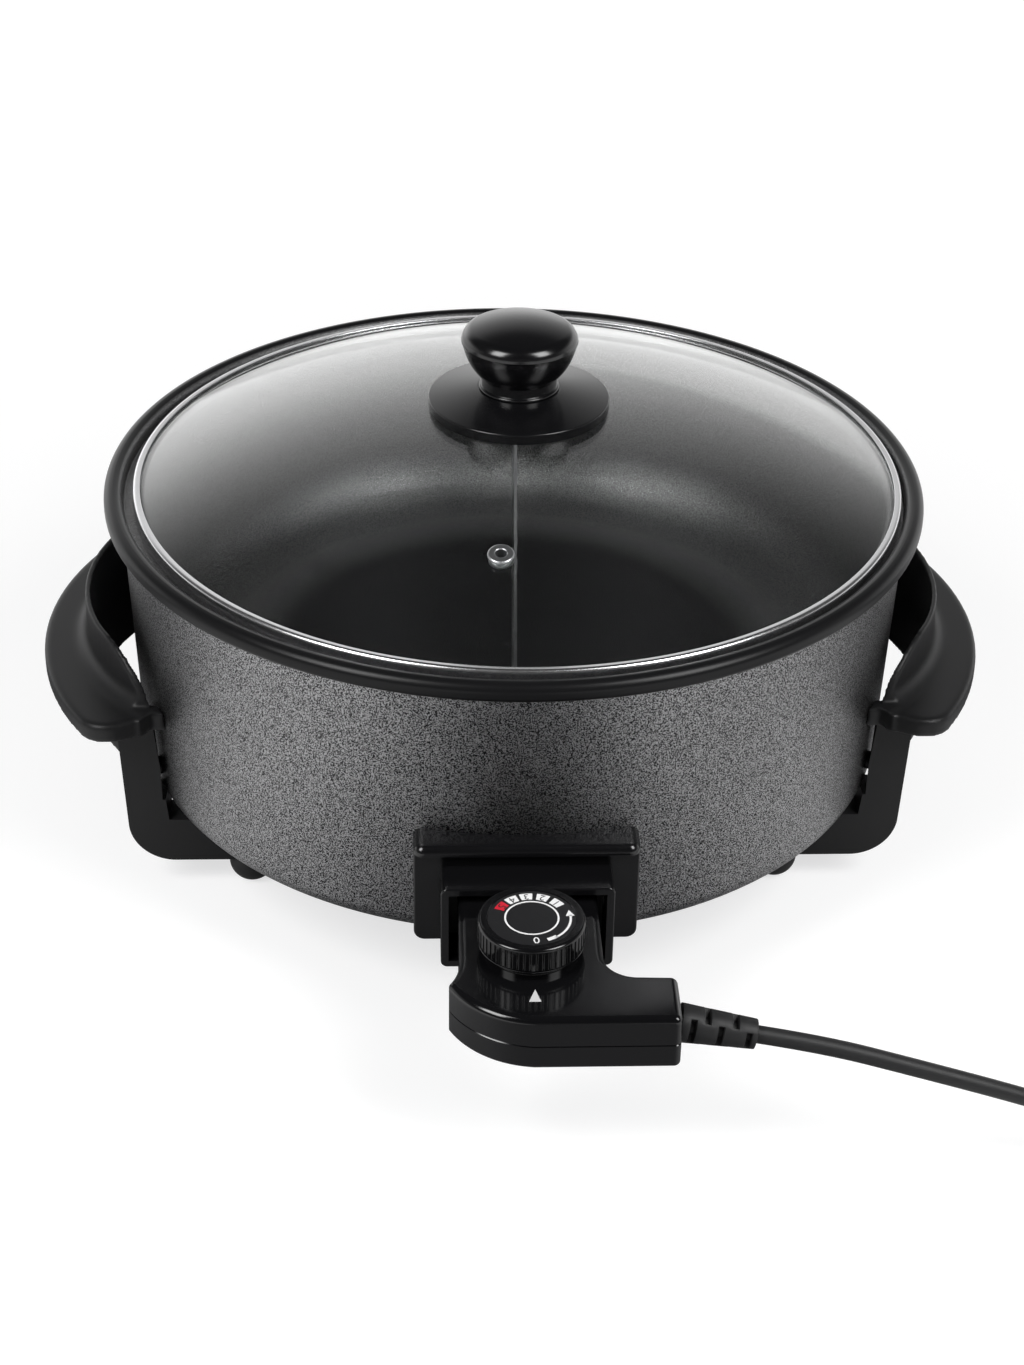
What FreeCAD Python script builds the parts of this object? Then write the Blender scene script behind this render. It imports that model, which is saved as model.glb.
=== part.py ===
import FreeCAD, Part
import math
import os

V = FreeCAD.Vector
os.makedirs("parts", exist_ok=True)

# Electric grill pan, in millimetres.
# The origin is on the table, under the middle of the appliance without its cord.
# +Z is up, -Y is the side with the plug-in thermostat, and +X is the side where its cord leaves.
# The pan's own axis stands behind the origin, because the thermostat reaches out in front.

# Overall sizes
RIM_R = 200.0
RIM_Z = 190.0
CONTROL_REACH = 295.0
AXIS_Y = (CONTROL_REACH - RIM_R) / 2

# How far a cutting tool reaches past what it cuts
CLEAR = 10.0

# Cooking pan, depths are measured down from the rim
PAN_DEPTH = 103.0
PAN_SHEET = 2.0
PAN_FLOOR_R = 146.0
PAN_FILLET = 33.0
PAN_WALL_TOP_R = 180.8
LEDGE_DEPTH = 6.0
LEDGE_BEND = 4.0
BEAD_INNER_R = 190.9
BEAD_R = (RIM_R - BEAD_INNER_R) / 2
BEAD_TOP = 1.5
LIP_DEPTH = 7.3
LIP_EDGE = 2.5
LIP_GAP = 0.3

# Outer casing
CASING_TOP_R = 192.3
CASING_LOW_R = 188.0
CASING_DEPTH = 150.0
CASING_SHEET = 0.8
CORNER_R = 12.0
CORNER_TURN = 65.0
BASE_R = 70.0

# Heater under the pan floor
ELEMENT_R = 4.0
ELEMENT_RING_R = 105.0
ELEMENT_BEND = 15.0
SPREADER_INNER_R = 94.0
SPREADER_OUTER_R = 116.0
SPREADER_DEEP = 10.0
ELEMENT_DEPTH = PAN_DEPTH + PAN_SHEET + SPREADER_DEEP / 2
PROBE_DEPTH = PAN_DEPTH + PAN_SHEET + 4.5
GUIDE_R = 4.5
GUIDE_BORE_R = 3.5
GUIDE_TIP_Y = -125.0
PIN_X = 16.0
PIN_R = 2.5
PIN_TIP_Y = -213.0
PIN_TIP = 1.5
PIN_TAPER = 1.0
STUD_R = 3.0
STUD_FOOT_R = 8.0
STUD_FOOT = 1.5
STUD_END = 7.0
WASHER_R = 9.0
WASHER = 1.2
CENTRE_NUT = 10.0
CENTRE_NUT_HIGH = 5.0

# Socket on the front of the casing
HOUSING_HALF = 50.5
HOUSING_TOP = 82.6
HOUSING_LOW = 135.4
HOUSING_FACE_Y = -197.0
HOUSING_BACK_Y = -165.0
HOUSING_ROUND = 5.0
BAR_FACE_Y = -200.0
BAR_LOW = 87.5
BAR_ROUND = 4.4
SLEEVE_HALF = 38.5
SLEEVE_TOP = 94.0
SLEEVE_LOW = 137.0
SLEEVE_WALL = 3.5
SLEEVE_FACE_Y = -215.0
SLEEVE_ROUND = 3.0
SLEEVE_HOLE_HALF = SLEEVE_HALF - SLEEVE_WALL
SLEEVE_HOLE_TOP = SLEEVE_TOP + SLEEVE_WALL
SLEEVE_HOLE_LOW = SLEEVE_LOW - SLEEVE_WALL
BLOCK_FACE_Y = -197.0
BLOCK_SEAT_Y = -194.0
BLOCK_BACK_Y = -176.0
BLOCK_HALF = 28.0
BLOCK_TOP = 102.5
BLOCK_LOW = 127.5
FLANGE_HALF = 34.5
FLANGE_OVER = 3.0
FLANGE_BELOW = 4.0
BLOCK_BORE_R = 3.6
SOCKET_SCREW_X = 43.0
SOCKET_SCREW_DEPTH = 121.0
SOCKET_SCREW_TIP_Y = -194.0
SOCKET_HEAD_Y = -182.0
SOCKET_HEAD_R = 4.0
SOCKET_HEAD = 2.0

# Legs and feet
LEG_FRONT = 80.5
LEG_BACK = 63.0
POST_OUT_TOP = 193.4
POST_OUT_LOW = 191.1
POST_IN_TOP = 176.0
POST_IN_LOW = 171.0
POST_GAP = 3.0
POST_BOSS_R = 4.5
LEG_CORNER = 22.5
BEAM_DEPTH = 174.4
BEAM_END = 106.0
BEAM_END_ROUND = 6.0
FOOT_X = 131.7
FOOT_R = 11.2
FOOT_FLAT = 4.0
FOOT_STEM_R = 3.2
FOOT_STEM = 9.0
LEG_SCREW_X = 116.0
LEG_SCREW_R = 2.0
LEG_WELL_R = 4.5
LEG_WELL = 12.0
LEG_HEAD_R = 4.2
LEG_HEAD = 2.6
LEG_NUT = 7.0
LEG_NUT_HIGH = 3.2

# Screws through the casing's wall into the posts and the handles' lugs
WALL_SCREW_R = 1.8
WALL_SCREW_LONG = 10.0
WALL_HEAD_R = 3.8
WALL_HEAD = 2.4
POST_SCREW_Y = -(LEG_FRONT + LEG_BACK) / 2 + 3.0
POST_SCREW_DEPTH = 125.0

# Handles
HANDLE_TOP = 84.5
HANDLE_LOW = 94.0
HANDLE_OUT = 235.5
HANDLE_ARC = 165.0
HANDLE_TIP_Y = 100.0
HANDLE_TIP_ROUND = 15.0
HANDLE_HEEL_X = 176.8
HANDLE_HEEL_Y = 89.3
HANDLE_HEEL_ROUND = 6.0
HANDLE_EDGE_ROUND = 3.0
GRIP_CENTRE = 99.0
GRIP_INNER = 112.0
GRIP_THICK = 3.0
GRIP_TOP = 57.5
GRIP_LOW = 122.0
GRIP_FLAT = 53.0
GRIP_SLOPE_R = 28.0
GRIP_FILLET = 8.0
LUG_FRONT = 86.0
LUG_BACK = 77.0
LUG_IN_X = 165.0
LUG_OUT_X = 190.0

# Lid
LID_X = 1.6
RING_R = 187.7
RING_LIP_R = 184.0
RING_FOOT_R = 183.2
RING_SHEET = 1.0
RING_TOP = -2.0
GLASS_SPHERE = 459.0
GLASS_TOP = -39.0
GLASS_THICK = 4.0
GLASS_EDGE_R = 186.1
GLASS_BORE_R = 4.0
VENT_X = -10.6
VENT_Y = -122.6
VENT_R = 6.2
VENT_HOLE_R = 2.6
VENT_NECK_R = 4.2
FLANGE_R = 43.7
FLANGE_LOW = -37.9
FLANGE_EDGE = -40.4
NECK_R = 18.2
NECK_BEAD = 0.8
NECK_LOW = -46.8
NECK_TOP = -53.0
HEAD_R = 28.0
HEAD_LOW = -71.0
HEAD_TOP = -81.6
HEAD_SHOULDER = 7.0
FLANGE_UNDER = GLASS_TOP - 1.0
KNOB_BORE_R = 3.2
KNOB_BORE_TOP = -68.0
KNOB_SCREW_R = 2.9
KNOB_SCREW_TOP = -66.0
KNOB_SCREW_HEAD_R = 6.0
KNOB_SCREW_HEAD = 3.4
GASKET_R = 20.0
SEAT_R = 20.0
SEAT_DEEP = 8.5
SEAT_WELL = 5.0

# Divider plate
DIVIDER_THICK = 1.5
DIVIDER_TOP = 25.0
DIVIDER_GAP = 1.2
DIVIDER_X = 1.0
DIVIDER_TURN = -2.1

# Plug-in thermostat
CONTROL_TOP = 102.0
CONTROL_LOW = 128.0
CONTROL_PARTING = 116.2
CONTROL_WALL = 2.2
CONTROL_ROUND = 3.2
CONTROL_SEAM = 0.35
NECK_HALF = 31.0
NECK_TIP_Y = -198.5
ARM_X = 61.5
DIAL_Y = -247.5
DIAL_R = 23.2
DIAL_TOP = 84.5
DIAL_LOW = 97.6
DIAL_FLUTES = 54
FLUTE_R = 0.8
COLLAR_R = 20.5
COLLAR_TOP = 98.6
COLLAR_ROUND = 1.3
SHAFT_R = 3.0
SHAFT_END = 118.0
DISC_R = 18.8
DISC_TOP = DIAL_TOP + 0.3
DISC_LOW = DIAL_TOP + 0.9
PROBE_R = 3.0
PROBE_TIP_Y = -130.0
PROBE_ROOT_Y = -228.0
CONTACT_R = 3.9
CONTACT_BORE_R = 2.85
CONTACT_BORE_Y = -218.0
CONTACT_END_Y = -222.0
CONTACT_TAB_Y = -231.0
NECK_WALL_Y = -215.0
CASE_SCREWS = [(-25.5, -212.0), (25.5, -212.0), (50.0, -272.0), (-22.0, -272.0)]
CASE_SCREW_R = 1.5
CASE_SCREW_BITE = 4.0
CASE_WELL_R = 2.6
CASE_WELL = 4.0
CASE_HEAD_R = 2.5
CASE_HEAD = 1.6
CASE_POST_R = 4.2
SWITCH_HALF = 20.0
SWITCH_FRONT_Y = -264.0
SWITCH_BACK_Y = -232.0
SWITCH_TOP = 110.5
SWITCH_POSTS_TOP = 106.5

# Cord, plug and strain relief
CORD_R = 3.9
CORD_LIE = 4.9
RELIEF_START = V(61.5, -280.5, 74.5)
RELIEF_END = V(94.0, -282.2, 69.0)
RELIEF_R = 8.5
RELIEF_END_R = 6.5
RELIEF_STEM_R = 5.5
COIL_X = 310.0
COIL_Y = -232.0
COIL_OUT_R = 52.0
COIL_STEP = 2.1
COIL_LAYER = 8.4
PLUG_X = 361.5
PLUG_Y = -166.0
PLUG_Z = 19.5
PLUG_LONG = 55.0
PLUG_PIN_R = 2.4
PLUG_PIN_LONG = 19.0
PLUG_PIN_X = 9.5
PLUG_PIN_ROOT = 10.0
PLUG_PIN_TIP = 1.5


def at(x, y, depth):
    """A point from its place beside the pan's axis and its depth below the rim."""
    return V(x, y + AXIS_Y, RIM_Z - depth)


def save(shape, name):
    shape.exportStep("parts/" + name + ".step")
    print(name, "solids", len(shape.Solids), "valid", shape.isValid(), "volume", round(shape.Volume, 1))


def line(a, b):
    return Part.LineSegment(a, b).toShape()


def arc(a, middle, b):
    return Part.Arc(a, middle, b).toShape()


def turned(edges, x=0.0, y=0.0):
    """A solid turned about the vertical axis through (x, y) beside the pan's axis."""
    face = Part.Face(Part.Wire(edges))
    return face.revolve(at(x, y, 0), V(0, 0, 1), 360)


def chain(steps, place):
    """Edges through steps: a two-number step ends a straight line, a four-number step is an arc.

    An arc's first two numbers are a point on it and its last two are its end.
    """
    edges = []
    here = place(*steps[0])
    for step in steps[1:]:
        if len(step) == 4:
            end = place(*step[2:])
            edges.append(arc(here, place(*step[:2]), end))
        else:
            end = place(*step)
            edges.append(line(here, end))
        here = end
    return edges


def on_circle(centre, radius, degrees):
    turn = math.radians(degrees)
    return centre[0] + radius * math.cos(turn), centre[1] + radius * math.sin(turn)


def box(x0, x1, y0, y1, shallow, deep):
    corner = at(x0, y0, deep)
    return Part.makeBox(x1 - x0, y1 - y0, deep - shallow, corner)


def rod(radius, start, end):
    return Part.makeCylinder(radius, (end - start).Length, start, end - start)


def upright(radius, x, y, shallow, deep):
    return Part.makeCylinder(radius, deep - shallow, at(x, y, deep), V(0, 0, 1))


def mirrored_x(shape):
    return shape.mirror(V(0, 0, 0), V(1, 0, 0))


def mirrored_y(shape):
    return shape.mirror(V(0, AXIS_Y, 0), V(0, 1, 0))


def group(shapes):
    return Part.makeCompound([solid for shape in shapes for solid in shape.Solids])


def edges_where(shape, test):
    return [e for e in shape.Edges if test(e.BoundBox)]


# Cooking pan: one pressed bowl with a ledge for the lid and a rolled bead as its rim
def inner_pan():
    wall_low = (PAN_FLOOR_R + PAN_FILLET, PAN_DEPTH - PAN_FILLET)
    hub = (PAN_FLOOR_R, PAN_DEPTH - PAN_FILLET)
    bend = (PAN_WALL_TOP_R + LEDGE_BEND, LEDGE_DEPTH + LEDGE_BEND)
    bead = (RIM_R - BEAD_R, BEAD_R - BEAD_TOP)
    lip = (RIM_R - LIP_EDGE, LIP_DEPTH - LIP_EDGE)
    outer_fillet = PAN_FILLET + PAN_SHEET
    inner_bend = LEDGE_BEND - PAN_SHEET
    ledge_under = LEDGE_DEPTH + PAN_SHEET
    steps = [
        (0.0, PAN_DEPTH),
        (PAN_FLOOR_R, PAN_DEPTH),
        (*on_circle(hub, PAN_FILLET, 45), *wall_low),
        (PAN_WALL_TOP_R, bend[1]),
        (*on_circle(bend, LEDGE_BEND, 225), bend[0], LEDGE_DEPTH),
        (BEAD_INNER_R, LEDGE_DEPTH),
        (BEAD_INNER_R, bead[1]),
        (bead[0], -BEAD_TOP, RIM_R, bead[1]),
        (RIM_R, lip[1]),
        (*on_circle(lip, LIP_EDGE, 45), lip[0], LIP_DEPTH),
        (CASING_TOP_R + LIP_GAP, LIP_DEPTH),
        (CASING_TOP_R + LIP_GAP, ledge_under),
        (bend[0], ledge_under),
        (*on_circle(bend, inner_bend, 225), bend[0] - inner_bend, bend[1]),
        (wall_low[0] + PAN_SHEET, wall_low[1]),
        (*on_circle(hub, outer_fillet, 45), PAN_FLOOR_R, PAN_DEPTH + PAN_SHEET),
        (0.0, PAN_DEPTH + PAN_SHEET),
        (0.0, PAN_DEPTH),
    ]
    return turned(chain(steps, lambda r, d: at(r, 0, d)))


# Casing: a drawn steel tub hung under the rim, with a window for the terminal block
def casing_steps(inset):
    """The casing's outer line, moved in by inset, from its top edge to the axis."""
    turn = math.radians(CORNER_TURN)
    corner = CORNER_R * math.cos(turn), CORNER_R * math.sin(turn)
    base_rise = BASE_R * (1 - math.sin(turn))
    start = CASING_DEPTH - base_rise - corner[1]
    hub = (CASING_LOW_R - CORNER_R, start)
    base_hub = (hub[0] + corner[0] - BASE_R * math.cos(turn), CASING_DEPTH - BASE_R)
    small = CORNER_R - inset
    large = BASE_R - inset
    return [
        (CASING_TOP_R - inset, LEDGE_DEPTH + PAN_SHEET),
        (CASING_LOW_R - inset, start),
        (*on_circle(hub, small, CORNER_TURN / 2), *on_circle(hub, small, CORNER_TURN)),
        (*on_circle(base_hub, large, (CORNER_TURN + 90) / 2), *on_circle(base_hub, large, 90)),
        (0.0, CASING_DEPTH - inset),
    ]


def casing_solid():
    """The whole space inside the casing's outer skin."""
    steps = casing_steps(0.0) + [(0.0, LEDGE_DEPTH + PAN_SHEET), (CASING_TOP_R, LEDGE_DEPTH + PAN_SHEET)]
    return turned(chain(steps, lambda r, d: at(r, 0, d)))


def casing(cutters):
    outer = chain(casing_steps(0.0), lambda r, d: at(r, 0, d))
    inner = chain(casing_steps(CASING_SHEET), lambda r, d: at(r, 0, d))
    top = line(inner[0].Vertexes[0].Point, outer[0].Vertexes[0].Point)
    axis = line(outer[-1].Vertexes[-1].Point, inner[-1].Vertexes[-1].Point)
    shell = turned([top] + outer + [axis] + inner[::-1])
    return shell.cut([block_window()] + cutters)


def block_window():
    """The opening through casing and housing that the terminal block fills."""
    front = BLOCK_SEAT_Y - CLEAR
    return box(-BLOCK_HALF, BLOCK_HALF, front, BLOCK_BACK_Y + CLEAR, BLOCK_TOP, BLOCK_LOW)


# Heater: a sheathed element in a cast ring under the pan floor, with cold ends to the socket
def element_path():
    hub_x = PIN_X + ELEMENT_BEND
    reach = ELEMENT_RING_R + ELEMENT_BEND
    hub_y = -math.sqrt(reach ** 2 - hub_x ** 2)
    touch = ELEMENT_RING_R / reach
    meet = (hub_x * touch, hub_y * touch)
    turn = math.degrees(math.atan2(meet[1] - hub_y, meet[0] - hub_x))
    steps = [
        (PIN_X, BLOCK_BACK_Y),
        (PIN_X, hub_y),
        (*on_circle((hub_x, hub_y), ELEMENT_BEND, (180 + turn) / 2), *meet),
        (ELEMENT_RING_R, 0.0, 0.0, ELEMENT_RING_R),
        (-ELEMENT_RING_R, 0.0, -meet[0], meet[1]),
        (*on_circle((-hub_x, hub_y), ELEMENT_BEND, (180 - turn) / 2), -PIN_X, hub_y),
        (-PIN_X, BLOCK_BACK_Y),
    ]
    return Part.Wire(chain(steps, lambda x, y: at(x, y, ELEMENT_DEPTH)))


def heating_element():
    ring = Part.makeCircle(ELEMENT_R, at(PIN_X, BLOCK_BACK_Y, ELEMENT_DEPTH), V(0, 1, 0))
    return element_path().makePipeShell([Part.Wire(ring)], True, False)


def heat_spreader(element):
    top = PAN_DEPTH + PAN_SHEET
    outer = upright(SPREADER_OUTER_R, 0, 0, top, top + SPREADER_DEEP)
    inner = upright(SPREADER_INNER_R, 0, 0, top - CLEAR, top + SPREADER_DEEP + CLEAR)
    return outer.cut([inner, element])


def probe_guide():
    """A tube, closed at its far end, that the probe slides into."""
    start = at(0, BLOCK_BACK_Y, PROBE_DEPTH)
    bore_end = at(0, GUIDE_TIP_Y - 2.0, PROBE_DEPTH)
    return rod(GUIDE_R, start, at(0, GUIDE_TIP_Y, PROBE_DEPTH)).cut(rod(GUIDE_BORE_R, start, bore_end))


def centre_stud():
    top = PAN_DEPTH + PAN_SHEET
    foot = upright(STUD_FOOT_R, 0, 0, top, top + STUD_FOOT)
    return foot.fuse(upright(STUD_R, 0, 0, top + STUD_FOOT, CASING_DEPTH + STUD_END))


def hexagon(width, x, y, shallow, deep):
    corner = width / math.sqrt(3)
    points = [at(*on_circle((x, y), corner, 60 * k), deep) for k in range(7)]
    return Part.Face(Part.makePolygon(points)).extrude(V(0, 0, deep - shallow))


def centre_nut():
    seat = CASING_DEPTH + WASHER
    washer = upright(WASHER_R, 0, 0, CASING_DEPTH, seat)
    nut = hexagon(CENTRE_NUT, 0, 0, seat, seat + CENTRE_NUT_HIGH)
    return washer.fuse(nut).cut(upright(STUD_R, 0, 0, CASING_DEPTH - CLEAR, CASING_DEPTH + CLEAR))


# Socket: terminal block, two round pins, a moulded housing and a square sleeve
def terminal_block():
    top = BLOCK_TOP - FLANGE_OVER
    low = BLOCK_LOW + FLANGE_BELOW
    flange = box(-FLANGE_HALF, FLANGE_HALF, BLOCK_FACE_Y, BLOCK_SEAT_Y, top, low)
    body = box(-BLOCK_HALF, BLOCK_HALF, BLOCK_SEAT_Y, BLOCK_BACK_Y, BLOCK_TOP, BLOCK_LOW)
    block = flange.fuse(body).removeSplitter()
    bore_start = at(0, BLOCK_FACE_Y - CLEAR, PROBE_DEPTH)
    bore = rod(BLOCK_BORE_R, bore_start, at(0, BLOCK_BACK_Y + CLEAR, PROBE_DEPTH))
    return block.cut([bore] + [pin_rod(side) for side in (-1, 1)])


def pin_rod(side):
    x = side * PIN_X
    tip = Part.makeCone(PIN_R - PIN_TAPER, PIN_R, PIN_TIP, at(x, PIN_TIP_Y, ELEMENT_DEPTH), V(0, 1, 0))
    shank = rod(PIN_R, at(x, PIN_TIP_Y + PIN_TIP, ELEMENT_DEPTH), at(x, BLOCK_BACK_Y, ELEMENT_DEPTH))
    return tip.fuse(shank).removeSplitter()


def rounded_block(half, y0, y1, top, low, radius):
    """A block with its four edges along Y rounded."""
    block = box(-half, half, y0, y1, top, low)
    along = edges_where(block, lambda b: b.YLength > 1 and b.XLength < 0.01 and b.ZLength < 0.01)
    return block.makeFillet(radius, along)


def socket_housing(tub):
    """A face plate under a rounded bar, closed against the casing behind."""
    plate_top = (HOUSING_TOP + BAR_LOW) / 2
    plate = box(-HOUSING_HALF, HOUSING_HALF, HOUSING_FACE_Y, HOUSING_BACK_Y, plate_top, HOUSING_LOW)
    low_z = RIM_Z - HOUSING_LOW
    corners = edges_where(plate, lambda b: b.YLength > 1 and b.ZMax < low_z + 0.01)
    plate = plate.makeFillet(HOUSING_ROUND, corners)
    face_y = HOUSING_FACE_Y + AXIS_Y
    rim = edges_where(plate, lambda b: b.YMax < face_y + 0.01 and b.ZMin < RIM_Z - BAR_LOW)
    plate = plate.makeFillet(1.0, rim)
    pocket = box(-SLEEVE_HOLE_HALF, SLEEVE_HOLE_HALF, HOUSING_FACE_Y - CLEAR, BLOCK_SEAT_Y,
                 SLEEVE_HOLE_TOP, SLEEVE_HOLE_LOW)
    screws = [socket_screw(side) for side in (-1, 1)]
    return plate.fuse(socket_bar()).cut([tub, pocket, block_window()] + screws).removeSplitter()


def socket_bar():
    """The bar along the housing's top, rounded at its ends and along its front."""
    bar = box(-HOUSING_HALF, HOUSING_HALF, BAR_FACE_Y, HOUSING_BACK_Y, HOUSING_TOP, BAR_LOW)
    face_y = BAR_FACE_Y + AXIS_Y
    ends = edges_where(bar, lambda b: b.YMax < face_y + 0.01 and b.XLength < 0.01)
    bar = bar.makeFillet(HOUSING_ROUND, ends)
    top_z = RIM_Z - HOUSING_TOP
    back_y = HOUSING_BACK_Y + AXIS_Y
    top = edges_where(bar, lambda b: b.ZMin > top_z - 0.01 and b.YMin < back_y - 0.01)
    return bar.makeFillet(BAR_ROUND, top)


def socket_sleeve():
    outer = rounded_block(SLEEVE_HALF, SLEEVE_FACE_Y, HOUSING_FACE_Y, SLEEVE_TOP, SLEEVE_LOW, SLEEVE_ROUND)
    face = edges_where(outer, lambda b: b.YMax < SLEEVE_FACE_Y + AXIS_Y + 0.01)
    outer = outer.makeFillet(0.8, face)
    hole = box(-SLEEVE_HOLE_HALF, SLEEVE_HOLE_HALF, SLEEVE_FACE_Y - CLEAR, HOUSING_FACE_Y + CLEAR,
               SLEEVE_HOLE_TOP, SLEEVE_HOLE_LOW)
    return outer.cut(hole)


def socket_screw(side):
    """A screw from inside the casing into the housing."""

    def along(y):
        return at(side * SOCKET_SCREW_X, y, SOCKET_SCREW_DEPTH)

    shank = rod(LEG_SCREW_R, along(SOCKET_SCREW_TIP_Y), along(BLOCK_BACK_Y))
    head = rod(SOCKET_HEAD_R, along(SOCKET_HEAD_Y), along(SOCKET_HEAD_Y + SOCKET_HEAD))
    return shank.fuse(head).removeSplitter()


# Legs: a moulded post and beam at each corner, with a round foot under the beam
def leg(tub):
    """The leg at front right. Its post stands clear of the casing's wall but for one boss."""
    hub = (POST_OUT_LOW - LEG_CORNER, BEAM_DEPTH - LEG_CORNER)
    end = (BEAM_END + BEAM_END_ROUND, BEAM_DEPTH - BEAM_END_ROUND)
    steps = [
        (POST_IN_TOP, HANDLE_LOW),
        (POST_OUT_TOP, HANDLE_LOW),
        (POST_OUT_LOW, hub[1]),
        (*on_circle(hub, LEG_CORNER, 45), hub[0], BEAM_DEPTH),
        (end[0], BEAM_DEPTH),
        (*on_circle(end, BEAM_END_ROUND, 135), BEAM_END, end[1]),
        (BEAM_END, CASING_DEPTH),
        (POST_IN_LOW, CASING_DEPTH),
        (POST_IN_TOP, HANDLE_LOW),
    ]
    face = Part.Face(Part.Wire(chain(steps, lambda x, d: at(x, -LEG_FRONT, d))))
    block = face.extrude(V(0, LEG_FRONT - LEG_BACK, 0))
    clear_r = casing_radius((HANDLE_LOW + CASING_DEPTH) / 2) + POST_GAP
    block = block.cut(upright(clear_r, 0, 0, HANDLE_LOW - CLEAR, CASING_DEPTH - CORNER_R))
    block = block.fuse(wall_rod(POST_BOSS_R, POST_SCREW_Y, POST_SCREW_DEPTH, -1.0, 2 * POST_GAP))
    middle = (LEG_FRONT + LEG_BACK) / 2
    stem_hole = upright(FOOT_STEM_R, FOOT_X, -middle, BEAM_DEPTH - FOOT_STEM, BEAM_DEPTH + CLEAR)
    return block.cut([tub, stem_hole, leg_screw(), post_screw()])


def foot():
    y = -(LEG_FRONT + LEG_BACK) / 2
    top = BEAM_DEPTH - FOOT_STEM
    shoulder = BEAM_DEPTH + 3.0
    belly = (FOOT_R - 1.6, RIM_Z - 4.4)
    steps = [
        (0.0, top),
        (FOOT_STEM_R, top),
        (FOOT_STEM_R, BEAM_DEPTH),
        (FOOT_R - 0.8, BEAM_DEPTH),
        (FOOT_R, shoulder),
        (*belly, FOOT_FLAT, RIM_Z),
        (0.0, RIM_Z),
        (0.0, top),
    ]
    return turned(chain(steps, lambda r, d: at(FOOT_X + r, y, d)), FOOT_X, y)


def leg_screw():
    """The well and hole for the screw that holds the beam to the casing's base."""
    y = -(LEG_FRONT + LEG_BACK) / 2
    well = upright(LEG_WELL_R, LEG_SCREW_X, y, BEAM_DEPTH - LEG_WELL, BEAM_DEPTH + CLEAR)
    return well.fuse(upright(LEG_SCREW_R, LEG_SCREW_X, y, CASING_DEPTH - CLEAR, BEAM_DEPTH))


def leg_screw_solid():
    y = -(LEG_FRONT + LEG_BACK) / 2
    seat = BEAM_DEPTH - LEG_WELL
    nut_top = CASING_DEPTH - CASING_SHEET - LEG_NUT_HIGH
    head = upright(LEG_HEAD_R, LEG_SCREW_X, y, seat, seat + LEG_HEAD)
    shank = upright(LEG_SCREW_R, LEG_SCREW_X, y, nut_top - 2.0, seat)
    return head.cut(driver_slot(LEG_SCREW_X, y, LEG_HEAD_R, seat + LEG_HEAD, 1.0)).fuse(shank)


def driver_slot(x, y, head_r, face, width):
    """The slot for a screwdriver in a head whose face is at a depth."""
    return box(x - head_r + 1.0, x + head_r - 1.0, y - width / 2, y + width / 2, face - 1.0, face + CLEAR)


def leg_nut():
    y = -(LEG_FRONT + LEG_BACK) / 2
    seat = CASING_DEPTH - CASING_SHEET
    nut = hexagon(LEG_NUT, LEG_SCREW_X, y, seat - LEG_NUT_HIGH, seat)
    return nut.cut(upright(LEG_SCREW_R, LEG_SCREW_X, y, seat - CLEAR, seat + CLEAR))


def casing_radius(depth):
    """Radius of the casing's outer skin, where it tapers evenly from its top edge to its corner."""
    top, low = casing_steps(0.0)[:2]
    return top[0] + (low[0] - top[0]) * (depth - top[1]) / (low[1] - top[1])


def wall_rod(rod_radius, y, depth, start, end):
    """A rod square to the casing's wall, between two distances out from its skin."""
    skin = casing_radius(depth)
    turn = math.asin(y / skin)

    def out(distance):
        return at((skin + distance) * math.cos(turn), (skin + distance) * math.sin(turn), depth)

    return rod(rod_radius, out(start), out(end))


def side_screw(y, depth):
    """A screw through the casing wall from inside, square to the wall."""
    head = wall_rod(WALL_HEAD_R, y, depth, -CASING_SHEET - WALL_HEAD, -CASING_SHEET)
    shank = wall_rod(WALL_SCREW_R, y, depth, -CASING_SHEET, WALL_SCREW_LONG)
    return head.fuse(shank).removeSplitter()


def post_screw():
    return side_screw(POST_SCREW_Y, POST_SCREW_DEPTH)


def lug_screw():
    return side_screw(-(LUG_FRONT + LUG_BACK) / 2, (HANDLE_TOP + HANDLE_LOW) / 2)


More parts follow.
